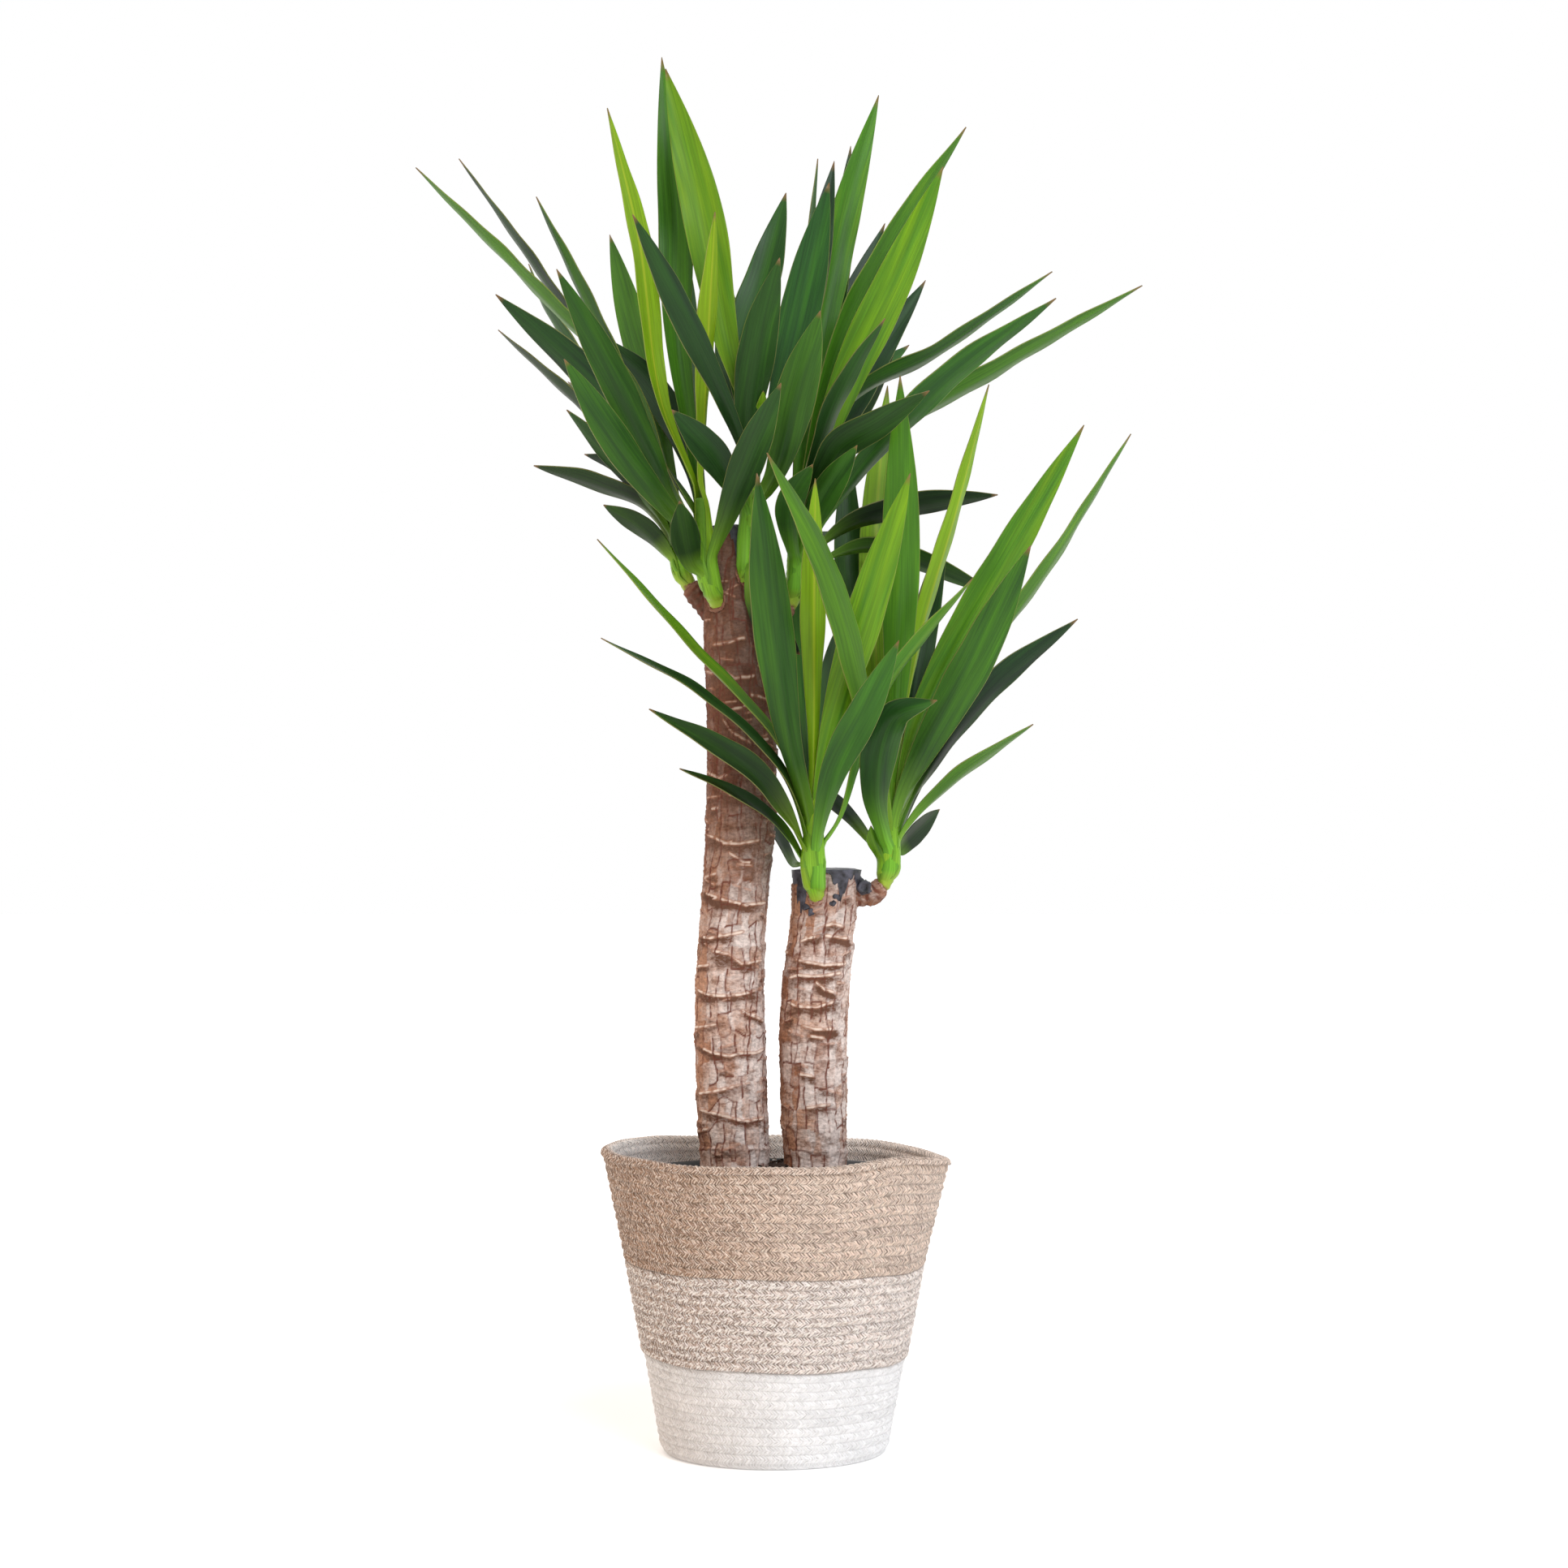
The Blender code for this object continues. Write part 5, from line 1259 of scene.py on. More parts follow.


def make_bark():
    """Cane bark: corky and dry, orange-brown to grey-pink, wrinkled, with painted shadow below the cream scar
    lips.
    """
    bark, add = new_material("yucca_cane_bark_grown")
    place = add("TexCoord", {}, "Object")
    marks = add("Attribute", {}, "Vector", attribute_name="bark")
    tone = add("SeparateXYZ", [marks])
    crack, cord = tone.node.outputs[1], tone.node.outputs[2]
    shade_and_redness = add("Attribute", {}, "Vector", attribute_name="bark_wear")
    shadow = add("SeparateXYZ", [shade_and_redness])
    redness, angle = shadow.node.outputs[1], shadow.node.outputs[2]
    stretched = add("Mapping", {0: place, "Scale": (1.0, 1.0, 0.25)})
    fibres = add("TexNoise", {"Vector": stretched, "Scale": 480.0, "Detail": 3.0})
    flattened = add("Mapping", {0: place, "Scale": (1.0, 1.0, 1.7)})
    blotch = add("TexNoise", {"Vector": flattened, "Scale": 70.0, "Detail": 5.0, "Roughness": 0.7})
    wrinkles = add("TexNoise", {"Vector": flattened, "Scale": 330.0, "Detail": 2.0})
    # From brown to grey-pink: painted light and shade by side, and the bark's own tone by plate and in
    # blotches.
    # The cane's upper part is darker: partly its own redder bark, partly painted shade under the leaves.
    turned = add("Math", [angle, PAINTED_LIGHT_SIDE], operation="SUBTRACT")
    side = add("Math", [turned], operation="COSINE")
    z = add("SeparateXYZ", [place])
    young = add("MapRange", [z.node.outputs[2], 0.4, 0.53])
    sided = add("Math", [side, 0.3, blotch], operation="MULTIPLY_ADD")
    plated = add("Math", [tone, 0.46, sided], operation="MULTIPLY_ADD")
    aged = add("Math", [young, -0.12, plated], operation="MULTIPLY_ADD")
    share = add("MapRange", [aged, 0.57, 1.14])
    brown = add("Mix", [redness, "#c39579", "#a06b4e"], data_type="RGBA")
    plate = add("Mix", [share, brown, "#e4d5cd"], data_type="RGBA")
    upper_shade = add("VectorMath", [plate, (0.4, 0.31, 0.265)], operation="MULTIPLY")
    upper_darkened = add("Mix", [young, plate, upper_shade], data_type="RGBA")
    # Painted shadow of the leaves: under them the upper part of the right side is darker.
    facing = add("MapRange", [side, 0.1, 0.9, 0.0, 0.9])
    leaf_shadow = add("Math", [facing, young], operation="MULTIPLY")
    dim = add("VectorMath", [upper_darkened, (0.6, 0.52, 0.49)], operation="MULTIPLY")
    leaf_shadowed = add("Mix", [leaf_shadow, upper_darkened, dim], data_type="RGBA")
    thread = add("MapRange", [fibres, 0.3, 0.7, 0.82, 1.1])
    crease = add("MapRange", [wrinkles, 0.34, 0.6, 0.72, 1.05])
    grain = add("Math", [thread, crease], operation="MULTIPLY")
    grained = add("VectorMath", [leaf_shadowed, grain], operation="SCALE")
    # Painted shadow below the lips, over wrinkled brown skin, and dark spots here and there elsewhere.
    spots = add("MapRange", [blotch, 0.48, 0.33, 0.0, 0.7])
    dusk = add("Math", [shadow, 1.7, spots], operation="MULTIPLY_ADD")
    rumpled = add("MapRange", [wrinkles, 0.3, 0.65, 1.0, 0.6])
    dark = add("Math", [dusk, rumpled], operation="MULTIPLY", use_clamp=True)
    shadowed_and_spotted = add("Mix", [dark, grained, "#684736"], data_type="RGBA")
    rosy = add("MapRange", [cord, 0.08, 0.4, 0.0, 0.6])
    rimmed = add("Mix", [rosy, shadowed_and_spotted, "#a9765c"], data_type="RGBA")
    corky = add("MapRange", [cord, 0.4, 0.85, 0.0, 0.85])
    browner = add("MapRange", [young, 0.0, 1.0, 1.0, 0.55])
    cream = add("Math", [corky, browner], operation="MULTIPLY")
    lipped = add("Mix", [cream, rimmed, "#f6e4d4"], data_type="RGBA")
    split = add("MapRange", [crack, 0.03, 0.5, 0.0, 0.92])
    colour = add("Mix", [split, lipped, "#6c3b2c"], data_type="RGBA")
    height = add("Math", [fibres, wrinkles], operation="ADD")
    bump = add("Bump", {"Height": height, "Strength": 0.7, "Distance": 0.8 * MM})
    shader = add(
        "BsdfPrincipled", {"Base Color": colour, "Roughness": 0.8, "Specular IOR Level": 0.3, "Normal": bump}
    )
    add("OutputMaterial", {"Surface": shader})
    return bark


print("palest bark:", round(math.degrees(PAINTED_LIGHT_SIDE)), "degrees round from the right")

# %% [markdown]
# ## Shoots
#
# Each shoot is a green stem with sword-shaped leaves. A leaf clasps the stem with a channelled root,
# narrows to a neck, swells to its widest past the middle and ends in a dry point. Copies of one leaf would
# be less work, but they would all bend alike. So each of the 84 is drawn by its route as the eye in front
# sees it, the depth of its tip, its width, and its turn about its own line. The solids follow the same
# numbers and rules. Here there are many more stations, and every blade lies where its solid lies.

# %% Leaves, repeated from the solids with each leaf's tone
class Shoot(NamedTuple):
    """A green stem with its leaves. Stub and stem are (x, y, z, radius) in millimetres, from the foot up."""

    name: str
    cane: str
    stub: tuple
    stem: tuple
    leaves: tuple


class Leaf(NamedTuple):
    """A blade. Its route is (x, z) in millimetres on the plane of the canes, as the eye in front sees it."""

    rise: float  # where it leaves the stem: 0 at the foot, 1 at the stem's end
    route: tuple
    depth: float  # of the tip, in millimetres behind that plane
    width: float  # in millimetres
    turn: float  # in degrees about its own line at the root, 0 where its whole face shows to the front
    twist: float  # the same at the tip
    tone: float  # 0 for an old dark leaf, 1 for a young lime one


SHOOTS = (
    Shoot("tall_cane_front_left_shoot", "tall_cane", (),
          ((-44, -16, 665, 8.5), (-50, -26, 679, 9), (-53, -30, 698, 9.5), (-57, -32, 747, 6)), (
        (0.95, ((-91, 831), (-107, 951), (-132, 1058)), -20, 24, 35, 50, 0.95),
        (0.85, ((-76, 868), (-79, 970), (-89, 1098)), 30, 28, 15, 0, 0.45),
        (0.75, ((-70, 868), (-74, 964)), 150, 26, -20, 0, 0.15),
        (0.9, ((-57, 759), (-53, 868), (-47, 976)), -50, 22, 62, 40, 0.9),
        (0.6, ((-70, 734), (-121, 836), (-172, 931)), -80, 27, 25, 10, 0.35),
        (0.55, ((-80, 751), (-140, 837), (-220, 911)), 10, 30, -40, -30, 0.1),
        (0.45, ((-80, 737), (-121, 791), (-166, 860)), -120, 27, 20, 10, 0.4),
        (0.2, ((-66, 702), (-75, 748)), -85, 24, 0, 0, 0.3),
        (0.3, ((-38, 734), (-19, 785), (5, 841)), -150, 27, 10, 0, 0.3),
        (0.7, ((-99, 794), (-142, 890), (-188, 988)), 60, 24, -62, -66, 0.4),
        (0.65, ((-67, 785), (-99, 842), (-136, 878)), 120, 26, -20, 0, 0.15),
    )),
    Shoot("tall_cane_back_left_shoot", "tall_cane", ((-45, 5, 655, 9), (-56, 9, 668, 8.5), (-66, 12, 680, 8)),
          ((-74, 14, 699, 9), (-78, 16, 745, 6)), (
        (0.8, ((-108, 830), (-172, 897), (-201, 927), (-283, 1011)), 70, 26, -68, -72, 0.45),
        (0.85, ((-140, 855), (-188, 930), (-249, 1018)), 150, 24, -72, -76, 0.1),
        (0.9, ((-140, 836), (-181, 901), (-194, 935)), 210, 24, -60, -70, 0.25),
        (0.55, ((-144, 810), (-182, 849), (-218, 883)), 120, 24, -70, -76, 0.1),
        (0.45, ((-99, 746), (-137, 791), (-164, 820)), 20, 24, -40, -50, 0.3),
        (0.4, ((-105, 759), (-128, 777), (-150, 785)), 80, 22, -55, -45, 0.1),
        (0.25, ((-99, 740), (-140, 761), (-190, 776)), 40, 24, -60, -55, 0.1),
        (0.15, ((-83, 702), (-105, 726), (-135, 745)), 0, 24, -55, -45, 0.3),
        (0.95, ((-94, 823), (-112, 887), (-130, 958)), 170, 26, 10, 0, 0.5),
        (0.7, ((-105, 785), (-163, 842)), 250, 28, 20, 10, 0.3),
        (0.6, ((-99, 810), (-115, 887)), 290, 28, 10, 0, 0.3),
    )),
    Shoot("tall_cane_front_right_shoot", "tall_cane", (),
          ((-26, -12, 680, 8), (-22, -21, 694, 8.5), (-20, -26, 714, 9.5), (-17, -28, 795, 6)), (
        (0.9, ((-39, 874), (-59, 983), (-86, 1089)), -10, 34, 15, 0, 0.6),
        (0.7, ((-37, 823), (-67, 887), (-112, 974)), -150, 24, 30, 20, 0.15),
        (0.4, ((-41, 775), (-81, 820)), -120, 26, 10, 0, 0.2),
        (0.8, ((-25, 862), (-6, 932), (9, 991)), 30, 32, -20, -10, 0.25),
        (0.75, ((-25, 855), (-18, 938)), 130, 26, 0, 0, 0.15),
        (0.6, ((-21, 810), (-11, 881), (4, 940)), -60, 31, 10, 0, 0.2),
        (0.65, ((-6, 785), (20, 897), (43, 999)), -20, 33, 10, 0, 0.25),
        (0.7, ((4, 810), (29, 919), (47, 1016)), 60, 26, -10, 0, 0.1),
        (0.95, ((-10, 800), (-9, 835)), -40, 12, 30, 30, 0.8),
        (0.45, ((2, 772), (18, 836), (36, 898)), -110, 33, 10, 0, 0.35),
        (0.15, ((-23, 687), (-6, 652), (20, 627)), -45, 26, 20, 0, 0.05),
        (0.6, ((-32, 836), (-38, 926)), 180, 28, 0, 0, 0.25),
    )),
    Shoot("tall_cane_right_shoot", "tall_cane",
          ((-22, 6, 646, 10), (-6, 11, 654, 9), (4, 14, 660, 8.5), (10, 15, 666, 8)),
          ((16, 16, 681, 9.5), (16, 16, 745, 6)), (
        (0.95, ((28, 836), (53, 964), (82, 1068)), 20, 28, 20, 10, 0.5),
        (0.85, ((36, 855), (52, 951), (60, 1028)), 80, 24, 10, 0, 0.3),
        (0.75, ((20, 887), (34, 1018)), 130, 18, 66, 66, 0.25),
        (0.8, ((52, 868), (100, 964), (151, 1043)), 0, 26, 50, 48, 0.45),
        (0.7, ((52, 830), (96, 926), (133, 1012)), -50, 33, 10, 0, 0.7),
        (0.65, ((48, 868), (87, 967)), 100, 26, -20, -10, 0.15),
        (0.6, ((74, 849), (119, 922)), 130, 26, -20, 0, 0.15),
        (0.5, ((80, 855), (105, 918)), 180, 26, 0, 0, 0.15),
        (0.55, ((42, 807), (64, 855), (87, 892)), -90, 22, 55, 45, 0.3),
        (0.45, ((55, 820), (132, 867), (219, 929)), 20, 26, 66, 70, 0.4),
        (0.3, ((61, 762), (135, 842), (222, 908)), -30, 29, 40, 50, 0.35),
        (0.35, ((48, 785), (84, 810), (122, 835)), -100, 28, 25, 20, 0.2),
        (0.4, ((87, 794), (183, 855), (290, 918)), 60, 26, 58, 66, 0.4),
        (0.25, ((52, 724), (112, 744), (176, 753)), 70, 26, 55, 40, 0.1),
        (0.2, ((68, 711), (119, 697), (176, 673)), 90, 24, 50, 50, 0.35),
        (0.2, ((32, 713), (43, 724)), 130, 22, 0, 0, 0.35),
        (0.3, ((13, 746), (30, 777)), -80, 24, 20, 10, 0.35),
        (0.35, ((36, 746), (65, 792)), -80, 24, 10, 0, 0.4),
        (0.7, ((74, 842), (106, 871)), 240, 28, -20, 0, 0.3),
        (0.9, ((42, 874), (58, 932)), 250, 28, 0, 0, 0.3),
    )),
    Shoot("short_cane_front_shoot", "short_cane", (),
          ((34, -20, 435, 8.5), (31, -31, 447, 9), (30, -37, 463, 10), (30, -39, 527, 6)), (
        (0.6, ((45, 567), (75, 670), (107, 770)), -90, 31, 10, 0, 0.65),
        (0.5, ((11, 567), (-3, 670), (-14, 770)), -130, 33, 10, 10, 0.3),
        (0.95, ((31, 567), (31, 657), (32, 766)), -80, 22, 20, 20, 0.9),
        (0.3, ((45, 529), (73, 586), (98, 638)), -170, 27, 10, 0, 0.35),
        (0.4, ((7, 548), (-60, 626), (-140, 718)), -70, 24, 66, 74, 0.6),
        (0.35, ((4, 535), (-60, 596), (-137, 640)), -90, 22, 62, 74, 0.1),
        (0.3, ((-3, 519), (-32, 545), (-99, 584)), -110, 26, 20, 60, 0.15),
        (0.2, ((4, 490), (-35, 519), (-75, 537)), -60, 20, 58, 66, 0.3),
        (0.2, ((13, 463), (0, 487), (-19, 513)), 50, 16, 50, 50, 0.1),
        (0.35, ((55, 503), (87, 599), (156, 687)), -40, 22, 62, 60, 0.55),
        (0.8, ((23, 593), (20, 695)), 150, 28, 0, 0, 0.3),
        (0.7, ((42, 580), (61, 670)), 170, 28, 0, 0, 0.3),
    )),
    Shoot("short_cane_right_shoot", "short_cane",
          ((46, 0, 434, 11), (66, 0, 438.5, 10.5), (78, 0, 439, 9), (83.5, 0, 443.5, 7.5)),
          ((90, 0, 459, 9.5), (91, 0, 515, 6)), (
        (0.8, ((98, 631), (100, 734), (99, 847)), -30, 32, 10, 0, 0.5),
        (0.75, ((80, 618), (80, 727), (89, 839)), 30, 30, 15, 10, 0.85),
        (0.65, ((69, 618), (59, 702), (57, 798)), 80, 28, 10, 0, 0.25),
        (0.5, ((74, 580), (42, 695), (-6, 786)), -130, 28, 38, 40, 0.45),
        (0.2, ((70, 484), (48, 508), (7, 538)), 30, 18, 40, 50, 0.1),
        (0.25, ((80, 519), (93, 577), (128, 591)), -130, 30, 10, 0, 0.35),
        (0.55, ((116, 580), (183, 702), (244, 808)), 10, 31, 15, 20, 0.6),
        (0.4, ((105, 522), (160, 625), (202, 713)), -60, 34, 15, 10, 0.4),
        (0.45, ((151, 599), (221, 702), (281, 801)), 60, 26, 62, 68, 0.5),
        (0.35, ((119, 531), (170, 599), (239, 655)), 40, 26, 40, 35, 0.1),
        (0.25, ((103, 487), (144, 529), (204, 572)), 0, 22, 58, 66, 0.5),
        (0.2, ((96, 471), (130, 505)), 70, 20, 30, 40, 0.2),
        (0.9, ((114, 638), (143, 740), (169, 840)), 0, 22, 55, 55, 0.85),
        (0.7, ((109, 599), (122, 670), (137, 730)), 70, 24, 20, 0, 0.15),
        (0.15, ((78, 468), (76, 492)), -18, 14, 30, 30, 0.6),
        (0.4, ((132, 567), (167, 631)), 220, 28, 0, 0, 0.3),
        (0.6, ((93, 618), (94, 734)), 220, 28, 0, 0, 0.3),
        (0.2, ((106, 529), (132, 580)), 180, 26, 0, 0, 0.3),
    )),
)
print("leaves:", {shoot.name: len(shoot.leaves) for shoot in SHOOTS})

# %% Blade rules
WIDTH_STATIONS = (0, 0.07, 0.2, 0.36, 0.56, 0.74, 0.89, 1)
BLADE_WIDTHS = (0.42, 0.32, 0.42, 0.7, 1, 0.85, 0.45, 0.02)
CHANNEL_STATIONS = (0, 0.15, 0.5, 1)
CHANNEL_DEPTHS = (0.6, 0.4, 0.22, 0.1)
NUDGES = tuple(sign * step * 12 * MM for step in range(13) for sign in (1, -1))
CLASP_TO = 0.35
SHEATH_ROWS = 9
SHEATH_TURN = (1.3, 0.7)  # half of its wrap in radians, at its foot and where the blade leaves
SHEATH_FREE = 26 * MM  # length of the blade over which it leaves the stem
SHORT_LEAF = 60 * MM  # shorter leaves stay at the stem for longer
SHEATH_LAYERS = 1.8 * MM  # the outermost root lies this far outside the innermost
SINK_LENGTH = 9 * MM  # over this length a root's foot comes out of the stem
SINK_DEPTH = 1.4 * MM
EDGE_WAVES = (21 * MM, 9 * MM, 19 * MM, 8 * MM)  # two on the left edge, two on the right: length of a radian
EDGE_SWING = 0.045  # their height as a share of half the blade's width
SLIM_STATIONS = (0, 12 * MM, 36 * MM)
SLIM_SHARES = (0.84, 0.86, 0.92)  # a stem is slimmer at its foot than in the solid, and fuller above
ROOT_OFFSET = 3.5 * MM
UPPER_FACE_UP = 0.7
STEM_SAMPLES = 60
STUB_STRAIGHT = 3 * MM
BLADE_THICKNESS = 0.8 * MM
BLADE_STATIONS = 44
FIBRE_SHIFT = 0.37  # from one blade to the next, so that no two show the same fibres
FOLD = 1.35  # how much deeper the fold is than in the solid, whose edges are straight lines
ACROSS = np.array([-1, -0.93, -0.7, -0.42, -0.14, 0.14, 0.42, 0.7, 0.93, 1])
EYE_PLANE = np.array([EYE[0], EYE[2]])
EYE_DISTANCE = -EYE[1]


def eye_scale(depth):
    """How much larger a thing must be to look the same size at this depth behind the plane of the canes."""
    return 1 + np.asarray(depth) / EYE_DISTANCE


def stem_table(shoot):
    """The stem's stations in metres. On a stub it starts a gap above the end face, and square to it."""
    table = np.asarray(shoot.stem, float) * MM
    if shoot.stub:
        end = np.asarray(shoot.stub[-1], float) * MM
        way = unit(end[:3] - np.asarray(shoot.stub[-2][:3], float) * MM)
        foot = [[*(end[:3] + way * rise), end[3]] for rise in (GAP, GAP + STUB_STRAIGHT)]
        table = np.vstack([foot, table])
    return table


def settled_nudge(leaf, node_points):
    """How far the solid's tip was swung to the front or back: the nudge that brings a tip nearest to it."""
    depths = leaf.depth * MM + np.array(NUDGES)
    seen = np.array(leaf.route[-1]) * MM
    spread = EYE_PLANE + (seen - EYE_PLANE) * eye_scale(depths)[:, None]
    tips = np.stack([spread[:, 0], depths, spread[:, 1]], axis=1)
    away = np.linalg.norm(tips[:, None] - node_points[None], axis=2).min(1)
    best = int(away.argmin())
    return NUDGES[best], away[best]


def blade_lines(leaf, stem, nudge, stations):
    """The blade's middle line, the direction across it and the one off its upper face, at each station.

    The route is moved out along the lines of sight to its depth. Near the root the blade turns to clasp the
    stem. Elsewhere it lies at its own angle about its middle line.
    """
    line = at_shares(*stem, np.linspace(0, 1, STEM_SAMPLES))
    low = min(int(leaf.rise * (STEM_SAMPLES - 1)), STEM_SAMPLES - 2)
    axis = line[low]
    up_stem = unit(line[low + 1] - line[low])
    axis_seen = EYE_PLANE + (axis[[0, 2]] - EYE_PLANE) / eye_scale(axis[1])
    seen = np.vstack([axis_seen, np.asarray(leaf.route, float) * MM])
    reach = walked(seen)
    depth = axis[1] + (leaf.depth * MM + nudge - axis[1]) * reach / reach[-1]
    spread = EYE_PLANE + (seen - EYE_PLANE) * eye_scale(depth)[:, None]
    points = np.stack([spread[:, 0], depth, spread[:, 1]], axis=1)
    away = points[-1] - axis
    away = unit(away - up_stem * (away @ up_stem))
    points[0] = axis + away * ROOT_OFFSET
    curve, lengths = smooth_curve(points, up_stem)
    middle = at_shares(curve, lengths, stations)
    along = unit(np.gradient(middle, axis=0))
    facing = unit(triple(along[:, 2], 0.0, -along[:, 0]))
    behind = np.cross(along, facing)
    clasping = np.cross(up_stem, away)
    clasp = math.degrees(math.atan2(clasping @ behind[0], clasping @ facing[0]))
    clasp += 180 * round((leaf.turn - clasp) / 180)
    ease = smoothstep(0, CLASP_TO, stations)
    angle = leaf.turn + (leaf.twist - leaf.turn) * stations
    angle = np.radians(angle + (clasp - leaf.turn) * (1 - ease))[:, None]
    across = np.cos(angle) * facing + np.sin(angle) * behind
    off = np.cross(along, across)
    half = len(middle) // 2
    upper = unit(axis - middle[half]) * [1, 1, 0] + [0, 0, UPPER_FACE_UP]
    if off[half] @ upper < 0:
        off = -off
    return middle, across, off, lengths[-1], away


def sheath_foot(leaf, length):
    """How far up the stem a leaf's root starts. Outer leaves reach down to the stem's foot."""
    return length * (0.03 + 0.35 * leaf.rise**2)


def clasp_rows(leaf, stem, radii, lines, stations):
    """The root where it hugs the stem: points, upper-face normals, and how far up the stem each row lies.

    Each row is an arc about the stem's line, as wide as the wrap there. Rows under the leaf follow the stem
    down, where the lowest sink into it, and rows above go on along it.
    """
    _, across, off, length, away = lines
    curve, lengths = stem
    rise = leaf.rise * lengths[-1] + stations * length
    centre = at_shares(curve, lengths, np.clip(rise / lengths[-1], 0, 1))
    way = unit(curve[-1] - curve[-2])
    centre = centre + np.maximum(rise - lengths[-1], 0)[:, None] * way
    shares = np.clip(rise / lengths[-1], 0, 1)
    foot = sheath_foot(leaf, lengths[-1])
    sunk = 1 - smoothstep(0, SINK_LENGTH, rise - foot)
    slim = np.interp(rise, SLIM_STATIONS, SLIM_SHARES)
    layer = SHEATH_LAYERS * (1 - leaf.rise) * (1 - sunk)
    radius = np.interp(shares, *radii) * slim - 0.6 * MM + layer - SINK_DEPTH * sunk
    aside = unit(np.cross(way, away))
    aside = aside if aside @ across[0] > 0 else -aside
    wrap = np.interp(rise, (foot, leaf.rise * lengths[-1] + 1 * MM), SHEATH_TURN)
    turn = (ACROSS * wrap[:, None])[..., None]
    outward = np.cos(turn) * away + np.sin(turn) * aside
    inward = -outward if off[0] @ away < 0 else outward
    return centre[:, None] + outward * radius[:, None, None], inward, rise


def blade_skin(leaf, stem, radii, lines, stations, seed):
    """A closed thin blade: its upper face from left to right, then its lower face back, at each station.

    The edges stand above the midrib, highest at the root. They wave a little, each blade in its own way. The
    lowest rows clasp the stem, and over the next ones the blade leaves it.
    """
    middle, across, off, length, _ = lines
    draw = random.Random(seed)
    half = leaf.width * MM * np.interp(stations, WIDTH_STATIONS, BLADE_WIDTHS) / 2
    smooth_half = np.convolve(np.pad(half, 2, mode="edge"), np.ones(5) / 5, mode="valid")
    half = np.where((stations > 0.1) & (stations < 0.95), smooth_half, half)
    lift = FOLD * half * np.interp(stations, CHANNEL_STATIONS, CHANNEL_DEPTHS)
    waves = [np.sin(stations * length / wave + draw.uniform(0, 2 * math.pi)) for wave in EDGE_WAVES]
    swing = EDGE_SWING * np.stack([waves[0] + waves[1], waves[2] + waves[3]])
    side = (ACROSS > 0).astype(int)
    wave = swing[side].T * np.abs(ACROSS) ** 2 * smoothstep(0.1, 0.4, stations)[:, None]
    rise = lift[:, None] * np.abs(ACROSS) ** 1.1 + wave * half[:, None]
    sheet = middle[:, None] + across[:, None] * (half[:, None] * ACROSS)[..., None]
    sheet = sheet + off[:, None] * rise[..., None]
    drop = leaf.rise * stem[1][-1] - sheath_foot(leaf, stem[1][-1])
    rows = np.concatenate([np.linspace(-drop / length, 0, SHEATH_ROWS, endpoint=False), stations])
    hugging, inward, reach = clasp_rows(leaf, stem, radii, lines, rows)
    leave = SHEATH_FREE + max(0, SHORT_LEAF - length)
    free = smoothstep(0, leave, rows * length)[:, None, None]
    sheet = hugging * (1 - free) + np.concatenate([sheet[:1].repeat(SHEATH_ROWS, 0), sheet]) * free
    face = np.concatenate([off[:1].repeat(SHEATH_ROWS, 0), off])[:, None]
    face = inward * (1 - free) + face * free
    face = unit(face)
    thick = BLADE_THICKNESS / 2 * (1 + 0.5 * (1 - np.abs(ACROSS)) * (1 - rows[:, None]))
    upper = sheet + face * thick[..., None]
    lower = sheet - face * thick[..., None]
    rings = np.concatenate([upper, lower[:, ::-1]], axis=1)
    half = np.concatenate([half[:1].repeat(SHEATH_ROWS), half])[:, None]
    tone = leaf.tone + draw.uniform(-0.05, 0.05)
    leaning = (middle[-1, 0] - middle[0, 0]) / length
    cast = np.clip(0.6 * min(leaning, 0.2) + draw.uniform(-0.5, 0.5), -1, 1)
    fields = {
        "blade": triple(ACROSS, rows[:, None], tone),
        "fibre": triple(half * ACROSS, (rows * length)[:, None], seed * FIBRE_SHIFT),
        "reach": triple(reach[:, None] + 0 * ACROSS, cast, 0.0),
    }
    return ring_skin(rings, {name: np.concatenate([v, v[:, ::-1]], axis=1) for name, v in fields.items()})


print("points on a blade:", (SHEATH_ROWS + BLADE_STATIONS) * 2 * len(ACROSS))

# %% Stems
CALLUS_HEIGHT = 2.5 * MM


def stem_skin(shoot, seed):
    """The green stem inside its leaves' roots, slim at its foot, where a low tan callus rings it."""
    table = stem_table(shoot)
    stations = walked(table[:, :3])
    length = stations[-1]

    def relief(points, shares):
        """The stem is slimmer than its solid, by more at its foot, and a little lumpy."""
        slim = np.interp(shares * length, SLIM_STATIONS, SLIM_SHARES) - 1
        drawn_in = np.interp(shares, stations / length, table[:, 3]) * slim - 0.9 * MM
        return drawn_in[:, None] + 0.3 * MM * ripples(points, 5 * MM, seed)

    rings, shares, angles = tube_rings(table, 48, 28, relief)
    up = (shares * length)[:, None]
    level = up + 1.2 * MM * ripples(rings, 6 * MM, seed + 7)
    dry = 1 - smoothstep(0.4 * CALLUS_HEIGHT, CALLUS_HEIGHT, level)
    fields = {
        "blade": np.array([0.0, 0.1, 0.5]),
        "fibre": triple(angles * 8 * MM, up, seed * FIBRE_SHIFT),
        "reach": triple(up, 0.0, dry),
    }
    return ring_skin(rings, fields)


# %% [markdown]
# ## Leaf material
#
# A yucca leaf is tough and waxy: a satin surface over long parallel fibres. Young leaves are lime, older
# ones deep green with a cool cast. The clasping root is pale, the edge a thin pale line, and the tip dry
# and brown. A blade is thin enough to glow when it is lit from behind. Subsurface scattering is meant for
# thicker things, so a translucent shader lets a part of the light through.

# %% Leaf material
FIBRE_SPACING = 0.9 * MM
FIBRE_LENGTH = 70 * MM
GREENS = ((0.22, "#152f1a"), (0.5, "#29561c"), (0.76, "#4a861c"), (1.0, "#7dac18"))


